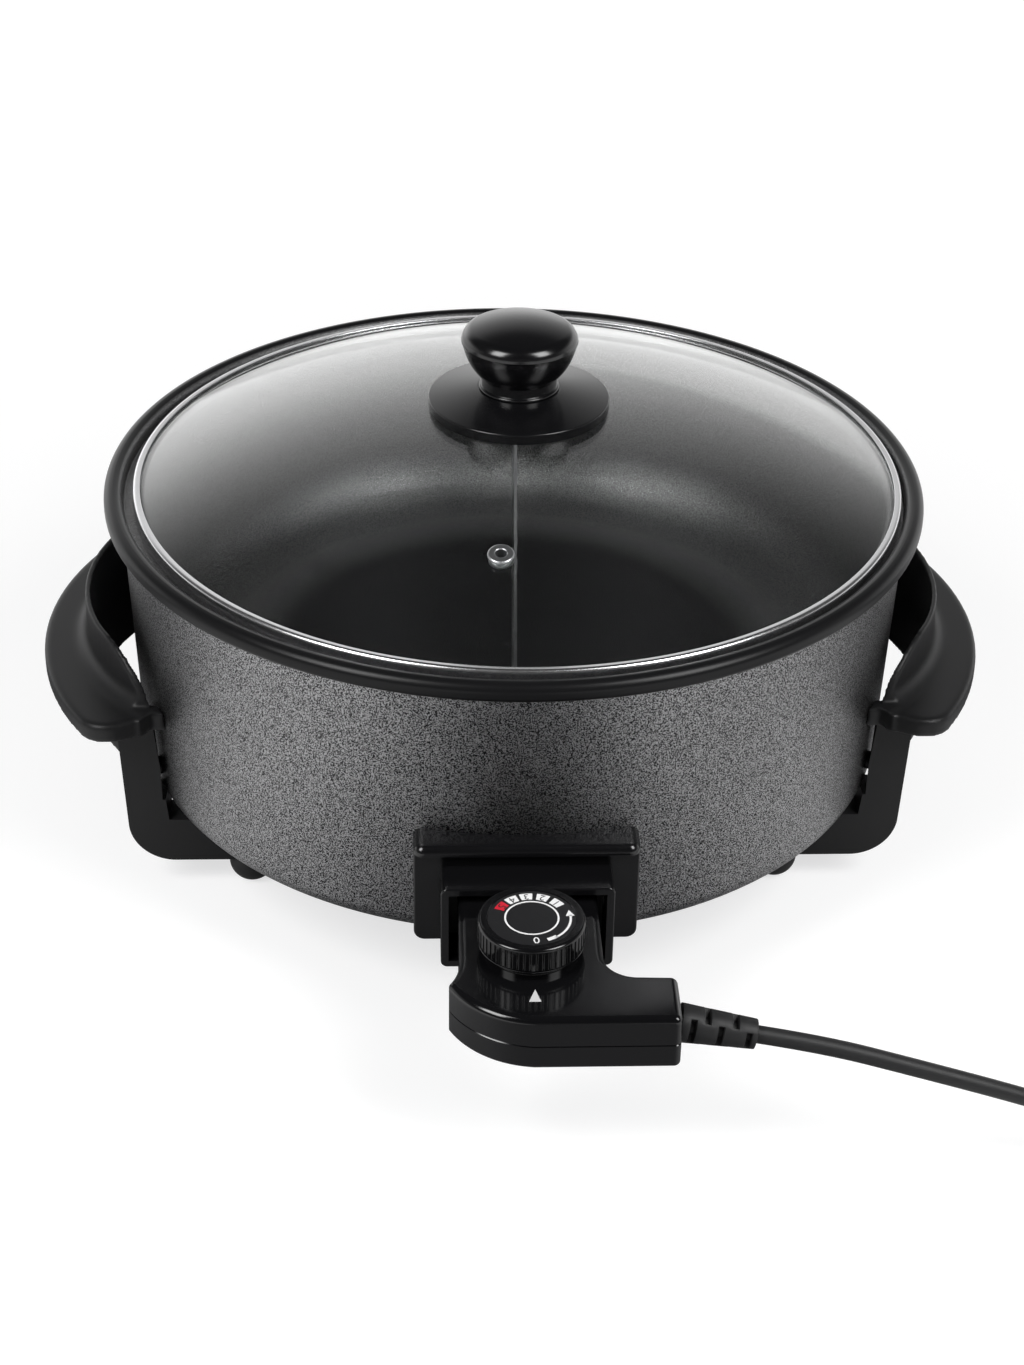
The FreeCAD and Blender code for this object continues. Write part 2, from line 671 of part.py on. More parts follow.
# Handles: a flat crescent with a curved grip wall on its inner side and a lug at each end
def handle(tub):
    arc_hub = HANDLE_OUT - HANDLE_ARC
    inner_y = 80.0
    inner_x = GRIP_CENTRE + math.sqrt(GRIP_INNER ** 2 - inner_y ** 2)
    tip_x = arc_hub + math.sqrt(HANDLE_ARC ** 2 - HANDLE_TIP_Y ** 2)
    steps = [
        (inner_x, -inner_y),
        (HANDLE_HEEL_X, -HANDLE_HEEL_Y),
        (tip_x, -HANDLE_TIP_Y),
        (HANDLE_OUT, 0.0, tip_x, HANDLE_TIP_Y),
        (HANDLE_HEEL_X, HANDLE_HEEL_Y),
        (inner_x, inner_y),
        (GRIP_CENTRE + GRIP_INNER, 0.0, inner_x, -inner_y),
    ]
    face = Part.Face(Part.Wire(chain(steps, lambda x, y: at(x, y, HANDLE_LOW))))
    flange = face.extrude(V(0, 0, HANDLE_LOW - HANDLE_TOP))
    flange = round_uprights(flange, tip_x, HANDLE_TIP_Y, HANDLE_TIP_ROUND)
    flange = round_uprights(flange, HANDLE_HEEL_X, HANDLE_HEEL_Y, HANDLE_HEEL_ROUND)
    top_z = RIM_Z - HANDLE_TOP
    rim = edges_where(flange, lambda b: b.ZMin > top_z - 0.01 and abs(b.YMax - AXIS_Y) > inner_y + 0.1
                      or b.ZMin > top_z - 0.01 and b.XMax > HANDLE_OUT - 1)
    flange = flange.makeFillet(HANDLE_EDGE_ROUND, rim)
    lugs = [box(LUG_IN_X, LUG_OUT_X, -LUG_FRONT, -LUG_BACK, HANDLE_TOP, HANDLE_LOW)]
    lugs += [mirrored_y(lugs[0])]
    body = flange.fuse(lugs + [grip_wall()]).cut([tub, lug_screw(), mirrored_y(lug_screw())])
    return body.removeSplitter()


def round_uprights(block, x, y, radius):
    """Rounds the upright edges at (x, y) and (x, -y)."""
    def here(b):
        return b.ZLength > 1 and abs(b.Center.x - x) < 0.01 and abs(abs(b.Center.y - AXIS_Y) - y) < 0.01
    return block.makeFillet(radius, edges_where(block, here))


def grip_wall():
    """The wall is turned about its own centre, then its top is sloped down to each end."""
    outer = GRIP_INNER + GRIP_THICK
    top_r = outer - 0.4
    hub = (outer + GRIP_FILLET, HANDLE_TOP - GRIP_FILLET)
    steps = [
        (GRIP_INNER, GRIP_LOW),
        (outer, GRIP_LOW),
        (outer, HANDLE_LOW - 2.0),
        (hub[0], HANDLE_LOW - 2.0),
        (hub[0], HANDLE_TOP),
        (*on_circle(hub, GRIP_FILLET, 135), outer, hub[1]),
        (top_r, GRIP_TOP + 1.0),
        ((top_r + GRIP_INNER) / 2, GRIP_TOP, GRIP_INNER, GRIP_TOP + 1.0),
        (GRIP_INNER, GRIP_LOW),
    ]
    face = Part.Face(Part.Wire(chain(steps, lambda r, d: at(GRIP_CENTRE + r, 0, d))))
    reach = math.degrees(math.asin(LUG_FRONT / outer))
    face.rotate(at(GRIP_CENTRE, 0, 0), V(0, 0, 1), -reach)
    wall = face.revolve(at(GRIP_CENTRE, 0, 0), V(0, 0, 1), 2 * reach)
    return wall.cut([grip_cutter(), mirrored_y(grip_cutter())] + skirt_cutters())


def grip_cutter():
    """What is taken off above the sloping top at the front end of the wall."""
    drop = HANDLE_TOP - 1.0 - GRIP_TOP
    run = math.sqrt(GRIP_SLOPE_R ** 2 - (GRIP_SLOPE_R - drop) ** 2)
    hub = (GRIP_FLAT, GRIP_TOP + GRIP_SLOPE_R)
    half = math.degrees(math.acos((GRIP_SLOPE_R - drop) / GRIP_SLOPE_R)) / 2
    end_y = LUG_FRONT + 2 * CLEAR
    steps = [
        (GRIP_FLAT, GRIP_TOP - CLEAR),
        (GRIP_FLAT, GRIP_TOP),
        (*on_circle(hub, GRIP_SLOPE_R, half - 90), GRIP_FLAT + run, GRIP_TOP + drop),
        (end_y, GRIP_TOP + drop),
        (end_y, GRIP_TOP - CLEAR),
        (GRIP_FLAT, GRIP_TOP - CLEAR),
    ]
    face = Part.Face(Part.Wire(chain(steps, lambda y, d: at(LUG_IN_X, -y, d))))
    return face.extrude(V(HANDLE_OUT - LUG_IN_X, 0, 0))


def skirt_cutters():
    """Below the flange the wall stops at the legs."""
    front = box(POST_IN_LOW - CLEAR, HANDLE_OUT, -LUG_FRONT - CLEAR, -LEG_BACK, HANDLE_LOW, GRIP_LOW + CLEAR)
    return [front, mirrored_y(front)]


# Lid: toughened glass dome in a steel ring, with a vent and a screwed knob
def glass_depth(r):
    """Depth of the glass's upper face at a distance from the lid's axis."""
    return GLASS_TOP + GLASS_SPHERE - math.sqrt(GLASS_SPHERE ** 2 - r ** 2)


def glass_ball(radius):
    ball = Part.makeSphere(radius)
    ball.translate(at(LID_X, 0, GLASS_TOP + GLASS_SPHERE))
    return ball


def lid_glass():
    hub = GLASS_TOP + GLASS_SPHERE
    low = GLASS_SPHERE - GLASS_THICK

    def dome(radius, r):
        return r, hub - math.sqrt(radius ** 2 - r ** 2)

    middle = GLASS_EDGE_R / 2
    steps = [
        dome(GLASS_SPHERE, GLASS_BORE_R),
        (*dome(GLASS_SPHERE, middle), *dome(GLASS_SPHERE, GLASS_EDGE_R)),
        dome(low, GLASS_EDGE_R),
        (*dome(low, middle), *dome(low, GLASS_BORE_R)),
        dome(GLASS_SPHERE, GLASS_BORE_R),
    ]
    glass = turned(chain(steps, lambda r, d: at(LID_X + r, 0, d)), LID_X)
    return glass.cut(vent_placed(Part.makeCylinder(VENT_NECK_R, 2 * CLEAR, V(0, 0, -CLEAR))))


def vent_placed(shape):
    """Sets a piece made about the Z axis square on the glass at the vent."""
    reach = math.hypot(VENT_X - LID_X, VENT_Y)
    hub = at(LID_X, 0, GLASS_TOP + GLASS_SPHERE)
    point = at(VENT_X, VENT_Y, glass_depth(reach))
    normal = (point - hub).normalize()
    placed = shape.copy()
    placed.Placement = FreeCAD.Placement(point, FreeCAD.Rotation(V(0, 0, 1), normal))
    return placed


def vent_grommet():
    """A steel eyelet with a flange above and below the glass."""
    low = -GLASS_THICK - 0.1
    steps = [
        (VENT_HOLE_R, low - 1.0),
        (VENT_R - 0.6, low - 1.0),
        (VENT_R - 0.6, low),
        (VENT_NECK_R, low),
        (VENT_NECK_R, 0.05),
        (VENT_R, 0.05),
        (VENT_R - 0.3, 1.1, VENT_R - 1.4, 1.5),
        (VENT_HOLE_R + 0.7, 1.5),
        (VENT_HOLE_R + 0.1, 1.2, VENT_HOLE_R, 0.6),
        (VENT_HOLE_R, low - 1.0),
    ]
    face = Part.Face(Part.Wire(chain(steps, lambda r, z: V(r, 0, z))))
    return vent_placed(face.revolve(V(0, 0, 0), V(0, 0, 1), 360))


def lid_ring():
    """A rolled channel that holds the edge of the glass and rests on the pan's ledge."""
    lip_top = RING_TOP + 0.35
    web = LEDGE_DEPTH - RING_SHEET
    inner = RING_R - RING_SHEET
    bend = 1.8
    hub = (RING_R - bend, RING_TOP + bend)
    steps = [
        (RING_FOOT_R, LEDGE_DEPTH),
        (RING_R, LEDGE_DEPTH),
        (RING_R, hub[1]),
        (*on_circle(hub, bend, -45), hub[0], RING_TOP),
        (RING_LIP_R, lip_top),
        (RING_LIP_R, lip_top + RING_SHEET),
        (hub[0], RING_TOP + RING_SHEET),
        (*on_circle(hub, bend - RING_SHEET, -45), inner, hub[1]),
        (inner, web),
        (RING_FOOT_R, web),
        (RING_FOOT_R, LEDGE_DEPTH),
    ]
    return turned(chain(steps, lambda r, d: at(LID_X + r, 0, d)), LID_X)


def knob_gasket():
    """A silicone washer between the glass and the knob's guard disc."""
    low = glass_depth(GASKET_R) + 1.0
    bore = upright(GLASS_BORE_R, LID_X, 0, FLANGE_UNDER - CLEAR, low + CLEAR)
    return upright(GASKET_R, LID_X, 0, FLANGE_UNDER, low).cut([bore, glass_ball(GLASS_SPHERE)])


def knob_guard():
    """The wide disc that keeps fingers off the glass."""
    foot_r = NECK_R + 2 * NECK_BEAD
    dome_mid = (32.0, (FLANGE_EDGE + NECK_LOW) / 2 - 0.5)
    steps = [
        (KNOB_BORE_R, FLANGE_UNDER),
        (38.0, FLANGE_UNDER),
        (38.6, FLANGE_LOW),
        (FLANGE_R - 0.6, FLANGE_LOW),
        (FLANGE_R, FLANGE_LOW - 0.8),
        (FLANGE_R, FLANGE_EDGE + 0.6),
        (FLANGE_R - 0.2, FLANGE_EDGE + 0.1, FLANGE_R - 0.9, FLANGE_EDGE - 0.1),
        (*dome_mid, foot_r, NECK_LOW),
        (KNOB_BORE_R, NECK_LOW),
        (KNOB_BORE_R, FLANGE_UNDER),
    ]
    return turned(chain(steps, lambda r, d: at(LID_X + r, 0, d)), LID_X)


def knob_grip():
    """Beaded foot, waist, bowl-shaped underside and domed head, with a blind hole for the screw."""
    shoulder = (HEAD_R - HEAD_SHOULDER, HEAD_LOW)
    drop = HEAD_LOW - HEAD_TOP
    crown_r = (shoulder[0] ** 2 + drop ** 2 - HEAD_SHOULDER ** 2) / (2 * (drop - HEAD_SHOULDER))
    crown = (0.0, HEAD_TOP + crown_r)
    top_turn = math.degrees(math.asin(shoulder[0] / (crown_r - HEAD_SHOULDER)))
    meet = on_circle(crown, crown_r, top_turn - 90)
    half_turn = (90 - top_turn) / 2
    half_top = 90 - top_turn / 2
    steps = [
        (0.0, KNOB_BORE_TOP),
        (KNOB_BORE_R, KNOB_BORE_TOP),
        (KNOB_BORE_R, NECK_LOW),
        (NECK_R + 0.4, NECK_LOW),
        (NECK_R + 0.4 + NECK_BEAD, NECK_LOW - NECK_BEAD, NECK_R + 0.4, NECK_LOW - 2 * NECK_BEAD),
        (NECK_R, NECK_LOW - 2 * NECK_BEAD - 0.4),
        (NECK_R, NECK_TOP),
        (24.4, -61.0, HEAD_R - 0.5, HEAD_LOW + 0.4),
        (HEAD_R, HEAD_LOW),
        (*on_circle(shoulder, HEAD_SHOULDER, -half_turn), *meet),
        (*on_circle(crown, crown_r, -half_top), 0.0, HEAD_TOP),
        (0.0, KNOB_BORE_TOP),
    ]
    return turned(chain(steps, lambda r, d: at(LID_X + r, 0, d)), LID_X)


def knob_seat():
    """The cup under the glass that the screw pulls the knob against."""
    top = GLASS_TOP + GLASS_THICK
    low = top + SEAT_DEEP
    steps = [
        (KNOB_BORE_R, top - 2.0),
        (SEAT_R, top - 2.0),
        (SEAT_R, low - 5.0),
        (SEAT_R - 1.2, low - 1.2, SEAT_R - 5.0, low),
        (SEAT_R - 7.0, low),
        (SEAT_R - 8.5, low - SEAT_WELL),
        (KNOB_BORE_R, low - SEAT_WELL),
        (KNOB_BORE_R, top - 2.0),
    ]
    cup = turned(chain(steps, lambda r, d: at(LID_X + r, 0, d)), LID_X)
    return cup.common(glass_ball(GLASS_SPHERE - GLASS_THICK))


def knob_screw():
    seat = GLASS_TOP + GLASS_THICK + SEAT_DEEP - SEAT_WELL
    face = seat + KNOB_SCREW_HEAD
    shank = upright(KNOB_SCREW_R, LID_X, 0, KNOB_SCREW_TOP, seat)
    head = upright(KNOB_SCREW_HEAD_R, LID_X, 0, seat, face)
    return head.cut(driver_slot(LID_X, 0, KNOB_SCREW_HEAD_R, face, 1.2)).fuse(shank)


# Divider: a loose sheet plate that parts the pan in two
def divider_plate():
    wall_low = (PAN_FLOOR_R + PAN_FILLET - DIVIDER_GAP, PAN_DEPTH - PAN_FILLET)
    hub = (PAN_FLOOR_R, PAN_DEPTH - PAN_FILLET)
    radius = PAN_FILLET - DIVIDER_GAP
    top_r = PAN_WALL_TOP_R - DIVIDER_GAP - 0.6
    foot = (PAN_FLOOR_R - 1.0, PAN_DEPTH - DIVIDER_GAP)
    steps = [
        (-foot[0], PAN_DEPTH),
        (foot[0], PAN_DEPTH),
        foot,
        (hub[0], foot[1]),
        (*on_circle(hub, radius, 45), *wall_low),
        (top_r, DIVIDER_TOP + 6.0),
        (top_r - 1.8, DIVIDER_TOP + 1.8, top_r - 6.0, DIVIDER_TOP),
        (6.0 - top_r, DIVIDER_TOP),
        (1.8 - top_r, DIVIDER_TOP + 1.8, -top_r, DIVIDER_TOP + 6.0),
        (-wall_low[0], wall_low[1]),
        (*on_circle((-hub[0], hub[1]), radius, 135), -hub[0], foot[1]),
        (-foot[0], foot[1]),
        (-foot[0], PAN_DEPTH),
    ]
    face = Part.Face(Part.Wire(chain(steps, lambda y, d: at(DIVIDER_X - DIVIDER_THICK / 2, y, d))))
    plate = face.extrude(V(DIVIDER_THICK, 0, 0))
    plate.rotate(at(DIVIDER_X, 0, 0), V(0, 0, 1), DIVIDER_TURN)
    return plate


# Plug-in thermostat: two shells parted at mid height, with a dial on top
def control_outline(depth):
    steps = [
        (-NECK_HALF, NECK_TIP_Y),
        (-NECK_HALF, -252.0),
        (-32.1, -260.7, -35.6, -268.5),
        (-35.6, -270.5),
        (-20.4, -287.8, 0.0, -CONTROL_REACH),
        (58.5, -CONTROL_REACH),
        (60.6, -294.1, ARM_X, -292.0),
        (ARM_X, -268.5),
        (60.6, -266.4, 58.5, -265.5),
        (45.5, -265.0),
        (35.2, -260.9, NECK_HALF, -251.0),
        (NECK_HALF, NECK_TIP_Y),
        (-NECK_HALF, NECK_TIP_Y),
    ]
    return Part.Wire(chain(steps, lambda x, y: at(x, y, depth)))


def control_block(shallow, deep, inset):
    """The control's plan between two depths, moved in by inset."""
    face = Part.Face(control_outline(deep))
    if inset:
        face = face.makeOffset2D(-inset)
    return face.extrude(V(0, 0, deep - shallow))


def control_cutters():
    """Bores in the neck for the contacts and the probe, and in the arm for the strain relief."""
    tip_y = NECK_TIP_Y + 1.0
    bores = [rod(CONTACT_R, contact_point(side, tip_y), contact_point(side, NECK_WALL_Y)) for side in (-1, 1)]
    probe = rod(PROBE_R, at(0, tip_y, PROBE_DEPTH), at(0, NECK_WALL_Y, PROBE_DEPTH))
    relief = RELIEF_START + V(0, AXIS_Y, 0)
    return bores + [probe, rod(RELIEF_STEM_R, relief + V(-6, 0, 0), relief + V(1, 0, 0))]


def contact_point(side, y):
    return at(side * PIN_X, y, ELEMENT_DEPTH)


def control_top_shell():
    block = control_block(CONTROL_TOP, CONTROL_PARTING, 0)
    top_z = RIM_Z - CONTROL_TOP
    tip = NECK_TIP_Y + AXIS_Y - 0.01
    top = edges_where(block, lambda b: b.ZMin > top_z - 0.01 and b.YMin < tip)
    block = block.makeFillet(CONTROL_ROUND, top)
    seam = edges_where(block, lambda b: b.ZMax < RIM_Z - CONTROL_PARTING + 0.01)
    block = block.makeChamfer(CONTROL_SEAM, seam)
    cavity = control_block(CONTROL_TOP + CONTROL_WALL + 1.0, CONTROL_PARTING, CONTROL_WALL)
    collar = upright(COLLAR_R, 0, DIAL_Y, COLLAR_TOP, CONTROL_TOP)
    collar_z = RIM_Z - COLLAR_TOP
    collar = collar.makeFillet(COLLAR_ROUND, edges_where(collar, lambda b: b.ZMin > collar_z - 0.01))
    shaft_hole = upright(SHAFT_R + 0.05, 0, DIAL_Y, COLLAR_TOP - CLEAR, CONTROL_TOP + CLEAR)
    return block.cut(cavity).fuse(collar).cut([shaft_hole] + control_cutters())


def control_bottom_shell():
    block = control_block(CONTROL_PARTING, CONTROL_LOW, 0)
    low_z = RIM_Z - CONTROL_LOW
    tip = NECK_TIP_Y + AXIS_Y - 0.01
    low = edges_where(block, lambda b: b.ZMax < low_z + 0.01 and b.YMin < tip)
    block = block.makeFillet(1.8, low)
    seam = edges_where(block, lambda b: b.ZMin > RIM_Z - CONTROL_PARTING - 0.01)
    block = block.makeChamfer(CONTROL_SEAM, seam)
    cavity = control_block(CONTROL_PARTING, CONTROL_LOW - CONTROL_WALL, CONTROL_WALL)
    wells = [control_screw_well(x, y) for x, y in CASE_SCREWS]
    posts = [upright(CASE_POST_R, x, y, CONTROL_PARTING, CONTROL_LOW - 1.0) for x, y in CASE_SCREWS]
    return block.cut(cavity).fuse(posts).cut(wells + control_cutters())


def control_screw_well(x, y):
    well = upright(CASE_WELL_R, x, y, CONTROL_LOW - CASE_WELL, CONTROL_LOW + CLEAR)
    return well.fuse(upright(CASE_SCREW_R, x, y, CONTROL_PARTING - 1.0, CONTROL_LOW))


def control_screw(x, y):
    seat = CONTROL_LOW - CASE_WELL
    face = seat + CASE_HEAD
    head = upright(CASE_HEAD_R, x, y, seat, face)
    shank = upright(CASE_SCREW_R, x, y, CONTROL_PARTING - CASE_SCREW_BITE, seat)
    return head.cut(driver_slot(x, y, CASE_HEAD_R, face, 0.7)).fuse(shank)


def screw_bosses():
    """Posts inside the upper shell that the case screws bite into."""
    roof = CONTROL_TOP + CONTROL_WALL
    bosses = []
    for x, y in CASE_SCREWS:
        bore = upright(CASE_SCREW_R, x, y, CONTROL_PARTING - CASE_SCREW_BITE, CONTROL_PARTING)
        bosses.append(upright(CASE_POST_R, x, y, roof, CONTROL_PARTING).cut(bore))
    return bosses


def contact_sleeve(side):
    start = contact_point(side, NECK_TIP_Y)
    end = contact_point(side, CONTACT_END_Y)
    tube = rod(CONTACT_R, start, end).cut(rod(CONTACT_BORE_R, start, contact_point(side, CONTACT_BORE_Y)))
    x = side * PIN_X
    tab = box(x - 2.5, x + 2.5, CONTACT_TAB_Y, CONTACT_END_Y + 1.0, ELEMENT_DEPTH - 0.5, ELEMENT_DEPTH + 0.5)
    return tube.fuse(tab)


def probe_rod():
    start = at(0, PROBE_ROOT_Y, PROBE_DEPTH)
    end = at(0, PROBE_TIP_Y - PROBE_R, PROBE_DEPTH)
    tip = Part.makeSphere(PROBE_R, end)
    return rod(PROBE_R, start, end).fuse(tip).removeSplitter()


def thermostat_switch():
    """The switch body, with a well round the dial's shaft."""
    low = CONTROL_LOW - CONTROL_WALL
    block = box(-SWITCH_HALF, SWITCH_HALF, SWITCH_FRONT_Y, SWITCH_BACK_Y, SWITCH_TOP, low)
    step = 4.0
    inset = SWITCH_HALF - 1.5 * step
    posts = box(-inset, inset, SWITCH_FRONT_Y + step, SWITCH_BACK_Y - step, SWITCH_POSTS_TOP, SWITCH_TOP)
    bore = upright(SHAFT_R + 0.4, 0, DIAL_Y, SWITCH_POSTS_TOP, SHAFT_END + 0.5)
    well = upright(2 * SHAFT_R, 0, DIAL_Y, SWITCH_POSTS_TOP - CLEAR, SWITCH_TOP)
    return block.fuse(posts).removeSplitter().cut([bore, well])


def dial_knob():
    """A cup with a fluted skirt, a beaded foot and a recess for its printed disc."""
    recess = DISC_R + 0.1
    steps = [
        (SHAFT_R, DISC_LOW),
        (recess, DISC_LOW),
        (recess, DIAL_TOP + 0.2),
        (recess + 0.4, DIAL_TOP),
        (DIAL_R - 1.5, DIAL_TOP),
        (DIAL_R - 0.44, DIAL_TOP + 0.44, DIAL_R, DIAL_TOP + 1.5),
        (DIAL_R, DIAL_LOW - 2.3),
        (DIAL_R - 1.0, DIAL_LOW - 2.1),
        (DIAL_R - 1.0, DIAL_LOW - 1.7),
        (DIAL_R - 0.3, DIAL_LOW - 1.4),
        (DIAL_R - 0.5, DIAL_LOW - 0.3, DIAL_R - 1.4, DIAL_LOW),
        (DIAL_R - 3.0, DIAL_LOW),
        (DIAL_R - 3.4, DIAL_TOP + 4.0),
        (2 * SHAFT_R, DIAL_TOP + 4.0),
        (2 * SHAFT_R, DIAL_LOW),
        (SHAFT_R, DIAL_LOW),
        (SHAFT_R, DISC_LOW),
    ]
    knob = turned(chain(steps, lambda r, d: at(r, DIAL_Y, d)), 0, DIAL_Y)
    flutes = []
    for k in range(DIAL_FLUTES):
        x, y = on_circle((0, DIAL_Y), DIAL_R + FLUTE_R * 0.35, 360.0 * k / DIAL_FLUTES)
        flutes.append(upright(FLUTE_R, x, y, DIAL_TOP + 1.7, DIAL_LOW - 2.4))
    return knob.cut(flutes)


def dial_disc():
    return upright(DISC_R, 0, DIAL_Y, DISC_TOP, DISC_LOW)


def dial_shaft():
    """A round rod with a flat at its lower end for the switch."""
    flat_x = SHAFT_R - 0.8
    flat = box(flat_x, flat_x + CLEAR, DIAL_Y - CLEAR, DIAL_Y + CLEAR, SHAFT_END - 6.0, SHAFT_END + CLEAR)
    return upright(SHAFT_R, 0, DIAL_Y, DISC_LOW, SHAFT_END).cut(flat)


# Strain relief: three ribbed lengths that taper to the cord
def strain_relief():
    start = RELIEF_START + V(0, AXIS_Y, 0)
    end = RELIEF_END + V(0, AXIS_Y, 0)
    axis = (end - start).normalize()
    length = (end - start).Length
    ribs = 3
    groove = 2.2
    rib = (length - groove * (ribs - 1)) / ribs
    core = 5.4
    edges = 0.7
    steps = [(0.0, -3.0)]
    for k in range(ribs):
        s0 = k * (rib + groove)
        s1 = s0 + rib
        r0 = RELIEF_R + (RELIEF_END_R - RELIEF_R) * max(s0, 0) / length
        r1 = RELIEF_R + (RELIEF_END_R - RELIEF_R) * s1 / length
        if k == 0:
            steps += [(r0, -3.0), (r0, s0)]
        else:
            steps += [(core, s0), (r0 - edges, s0), (r0, s0 + edges)]
        steps += [(r1, s1 - edges), (r1 - edges, s1)]
        if k < ribs - 1:
            steps += [(core, s1)]
    steps += [(0.0, length), (0.0, -3.0)]
    face = Part.Face(Part.Wire(chain(steps, lambda r, s: V(r, 0, s))))
    body = face.revolve(V(0, 0, 0), V(0, 0, 1), 360)
    body.Placement = FreeCAD.Placement(start, FreeCAD.Rotation(V(0, 0, 1), axis))
    inside = Part.makeBox(20, 60, 60, start + V(-20, -30, -30))
    stem = rod(RELIEF_STEM_R, start + V(-4, 0, 0), start)
    return body.cut(inside).fuse(stem).removeSplitter()


# Cord: a run from the strain relief down to the table, a round coil, and a short tail to the plug
def run_points():
    """The free route from the strain relief to the coil."""
    start = RELIEF_END + V(0, AXIS_Y, 0)
    axis = (RELIEF_END - RELIEF_START).normalize()
    route = [
        (162.0, -286.6, 53.4),
        (205.0, -289.0, 40.5),
        (241.0, -288.8, 26.5),
        (271.0, -286.8, 12.0),
        (292.0, -284.0, CORD_LIE),
    ]
    points = [start, start + axis * 30.0]
    points += [V(x, y + AXIS_Y, z) for x, y, z in route]
    return points + [V(COIL_X, COIL_Y - COIL_OUT_R + AXIS_Y, CORD_LIE)]


def tail_points():
    """The short route from the coil to the plug."""
    high = CORD_LIE + COIL_LAYER
    start = V(COIL_X + COIL_OUT_R, COIL_Y + 2 * CORD_R + AXIS_Y, high)
    return [
        start,
        start + V(0, 18.0, 0),
        V(PLUG_X, PLUG_Y - 18.0 + AXIS_Y, PLUG_Z),
        V(PLUG_X, PLUG_Y + AXIS_Y, PLUG_Z),
    ]


def rounded_route(points, name):
    """Straight runs joined by tangent arcs, each as large as its two runs allow."""
    edges = []
    radii = []
    here = points[0]
    for before, corner, after in zip(points, points[1:], points[2:]):
        back = before - corner
        ahead = after - corner
        cut = 0.45 * min(back.Length, ahead.Length)
        back.normalize()
        ahead.normalize()
        half = (math.pi - back.getAngle(ahead)) / 2
        radius = cut / math.tan(half)
        bisector = (back + ahead).normalize()
        crown = corner + bisector * (radius / math.cos(half) - radius)
        start = corner + back * cut
        end = corner + ahead * cut
        edges += [line(here, start), arc(start, crown, end)]
        here = end
        radii.append(round(radius, 1))
    edges.append(line(here, points[-1]))
    print(name, "bend radii", radii)
    return Part.Wire(edges)


def tube_along(wire, start, direction, name):
    ring = Part.Wire(Part.makeCircle(CORD_R, start, direction))
    tube = wire.makePipeShell([ring], True, False)
    expected = math.pi * CORD_R ** 2 * wire.Length
    print(name, "length", round(wire.Length, 1))
    print(name, "volume over section times length", round(tube.Volume / expected, 5))
    return tube


def free_tube(points, name):
    wire = rounded_route(points, name)
    return tube_along(wire, points[0], points[1] - points[0], name)


def biarc(p0, t0, p1, t1):
    """Two arcs from p0 to p1 that leave along t0 and arrive along t1."""
    gap = p1 - p0
    both = t0 + t1
    lean = 2 * (1 - t0.dot(t1))
    reach = (-gap.dot(both) + math.sqrt(gap.dot(both) ** 2 + lean * gap.dot(gap))) / lean
    q0 = p0 + t0 * reach
    q1 = p1 - t1 * reach
    joint = (q0 + q1) * 0.5
    arcs = []
    for a, q, b in ((p0, q0, joint), (joint, q1, p1)):
        middle = (a + b) * 0.5
        half_chord = (b - a).Length / 2
        half_turn = math.atan((q - middle).Length / half_chord)
        crown = middle + (q - middle).normalize() * (half_chord * math.tan(half_turn / 2))
        arcs.append(arc(a, crown, b))
    return arcs


def coil_stations():
    """Radius and height of the cord's centre at each quarter turn: in, up a layer, and out again."""
    quarters = 13
    middle = (quarters - 1) // 2
    climb = {middle: 0.25, middle + 1: 0.75}
    stations = []
    for k in range(quarters + 1):
        steps_in = k if k <= middle else quarters - k
        layer = climb.get(k, 0.0 if k < middle else 1.0)
        stations.append((COIL_OUT_R - COIL_STEP * steps_in, CORD_LIE + COIL_LAYER * layer))
    return stations


def coil_wire():
    stations = coil_stations()
    last = len(stations) - 1
    points = []
    tangents = []
    for k, (radius, height) in enumerate(stations):
        turn = math.radians(-90 + 90 * k)
        out = V(math.cos(turn), math.sin(turn), 0)
        along = V(-math.sin(turn), math.cos(turn), 0)
        points.append(V(COIL_X, COIL_Y + AXIS_Y, height) + out * radius)
        before = stations[max(k - 1, 0)]
        after = stations[min(k + 1, last)]
        span = math.pi * radius
        inward = (after[0] - before[0]) / span if 0 < k < last else 0.0
        rise = (after[1] - before[1]) / span if 0 < k < last else 0.0
        tangents.append((along + out * inward + V(0, 0, rise)).normalize())
    edges = []
    for k in range(last):
        edges += biarc(points[k], tangents[k], points[k + 1], tangents[k + 1])
    end = points[-1] + tangents[-1] * (2 * CORD_R)
    edges.append(line(points[-1], end))
    return Part.Wire(edges)


def least_gap(wire, name):
    """The least gap of the wound cord to itself, measured on points along its centre."""
    spacing = 3.0
    points = wire.discretize(int(wire.Length / spacing))
    step = wire.Length / (len(points) - 1)
    apart = int(20.0 * CORD_R / step)
    least = min((points[j] - points[i]).Length
                for i in range(len(points)) for j in range(i + apart, len(points)))
    print(name, "least gap to itself", round(least - 2 * CORD_R, 2))


def cord_coil():
    wire = coil_wire()
    least_gap(wire, "cord_coil")
    start = V(COIL_X, COIL_Y - COIL_OUT_R + AXIS_Y, CORD_LIE)
    return tube_along(wire, start, V(1, 0, 0), "cord_coil")


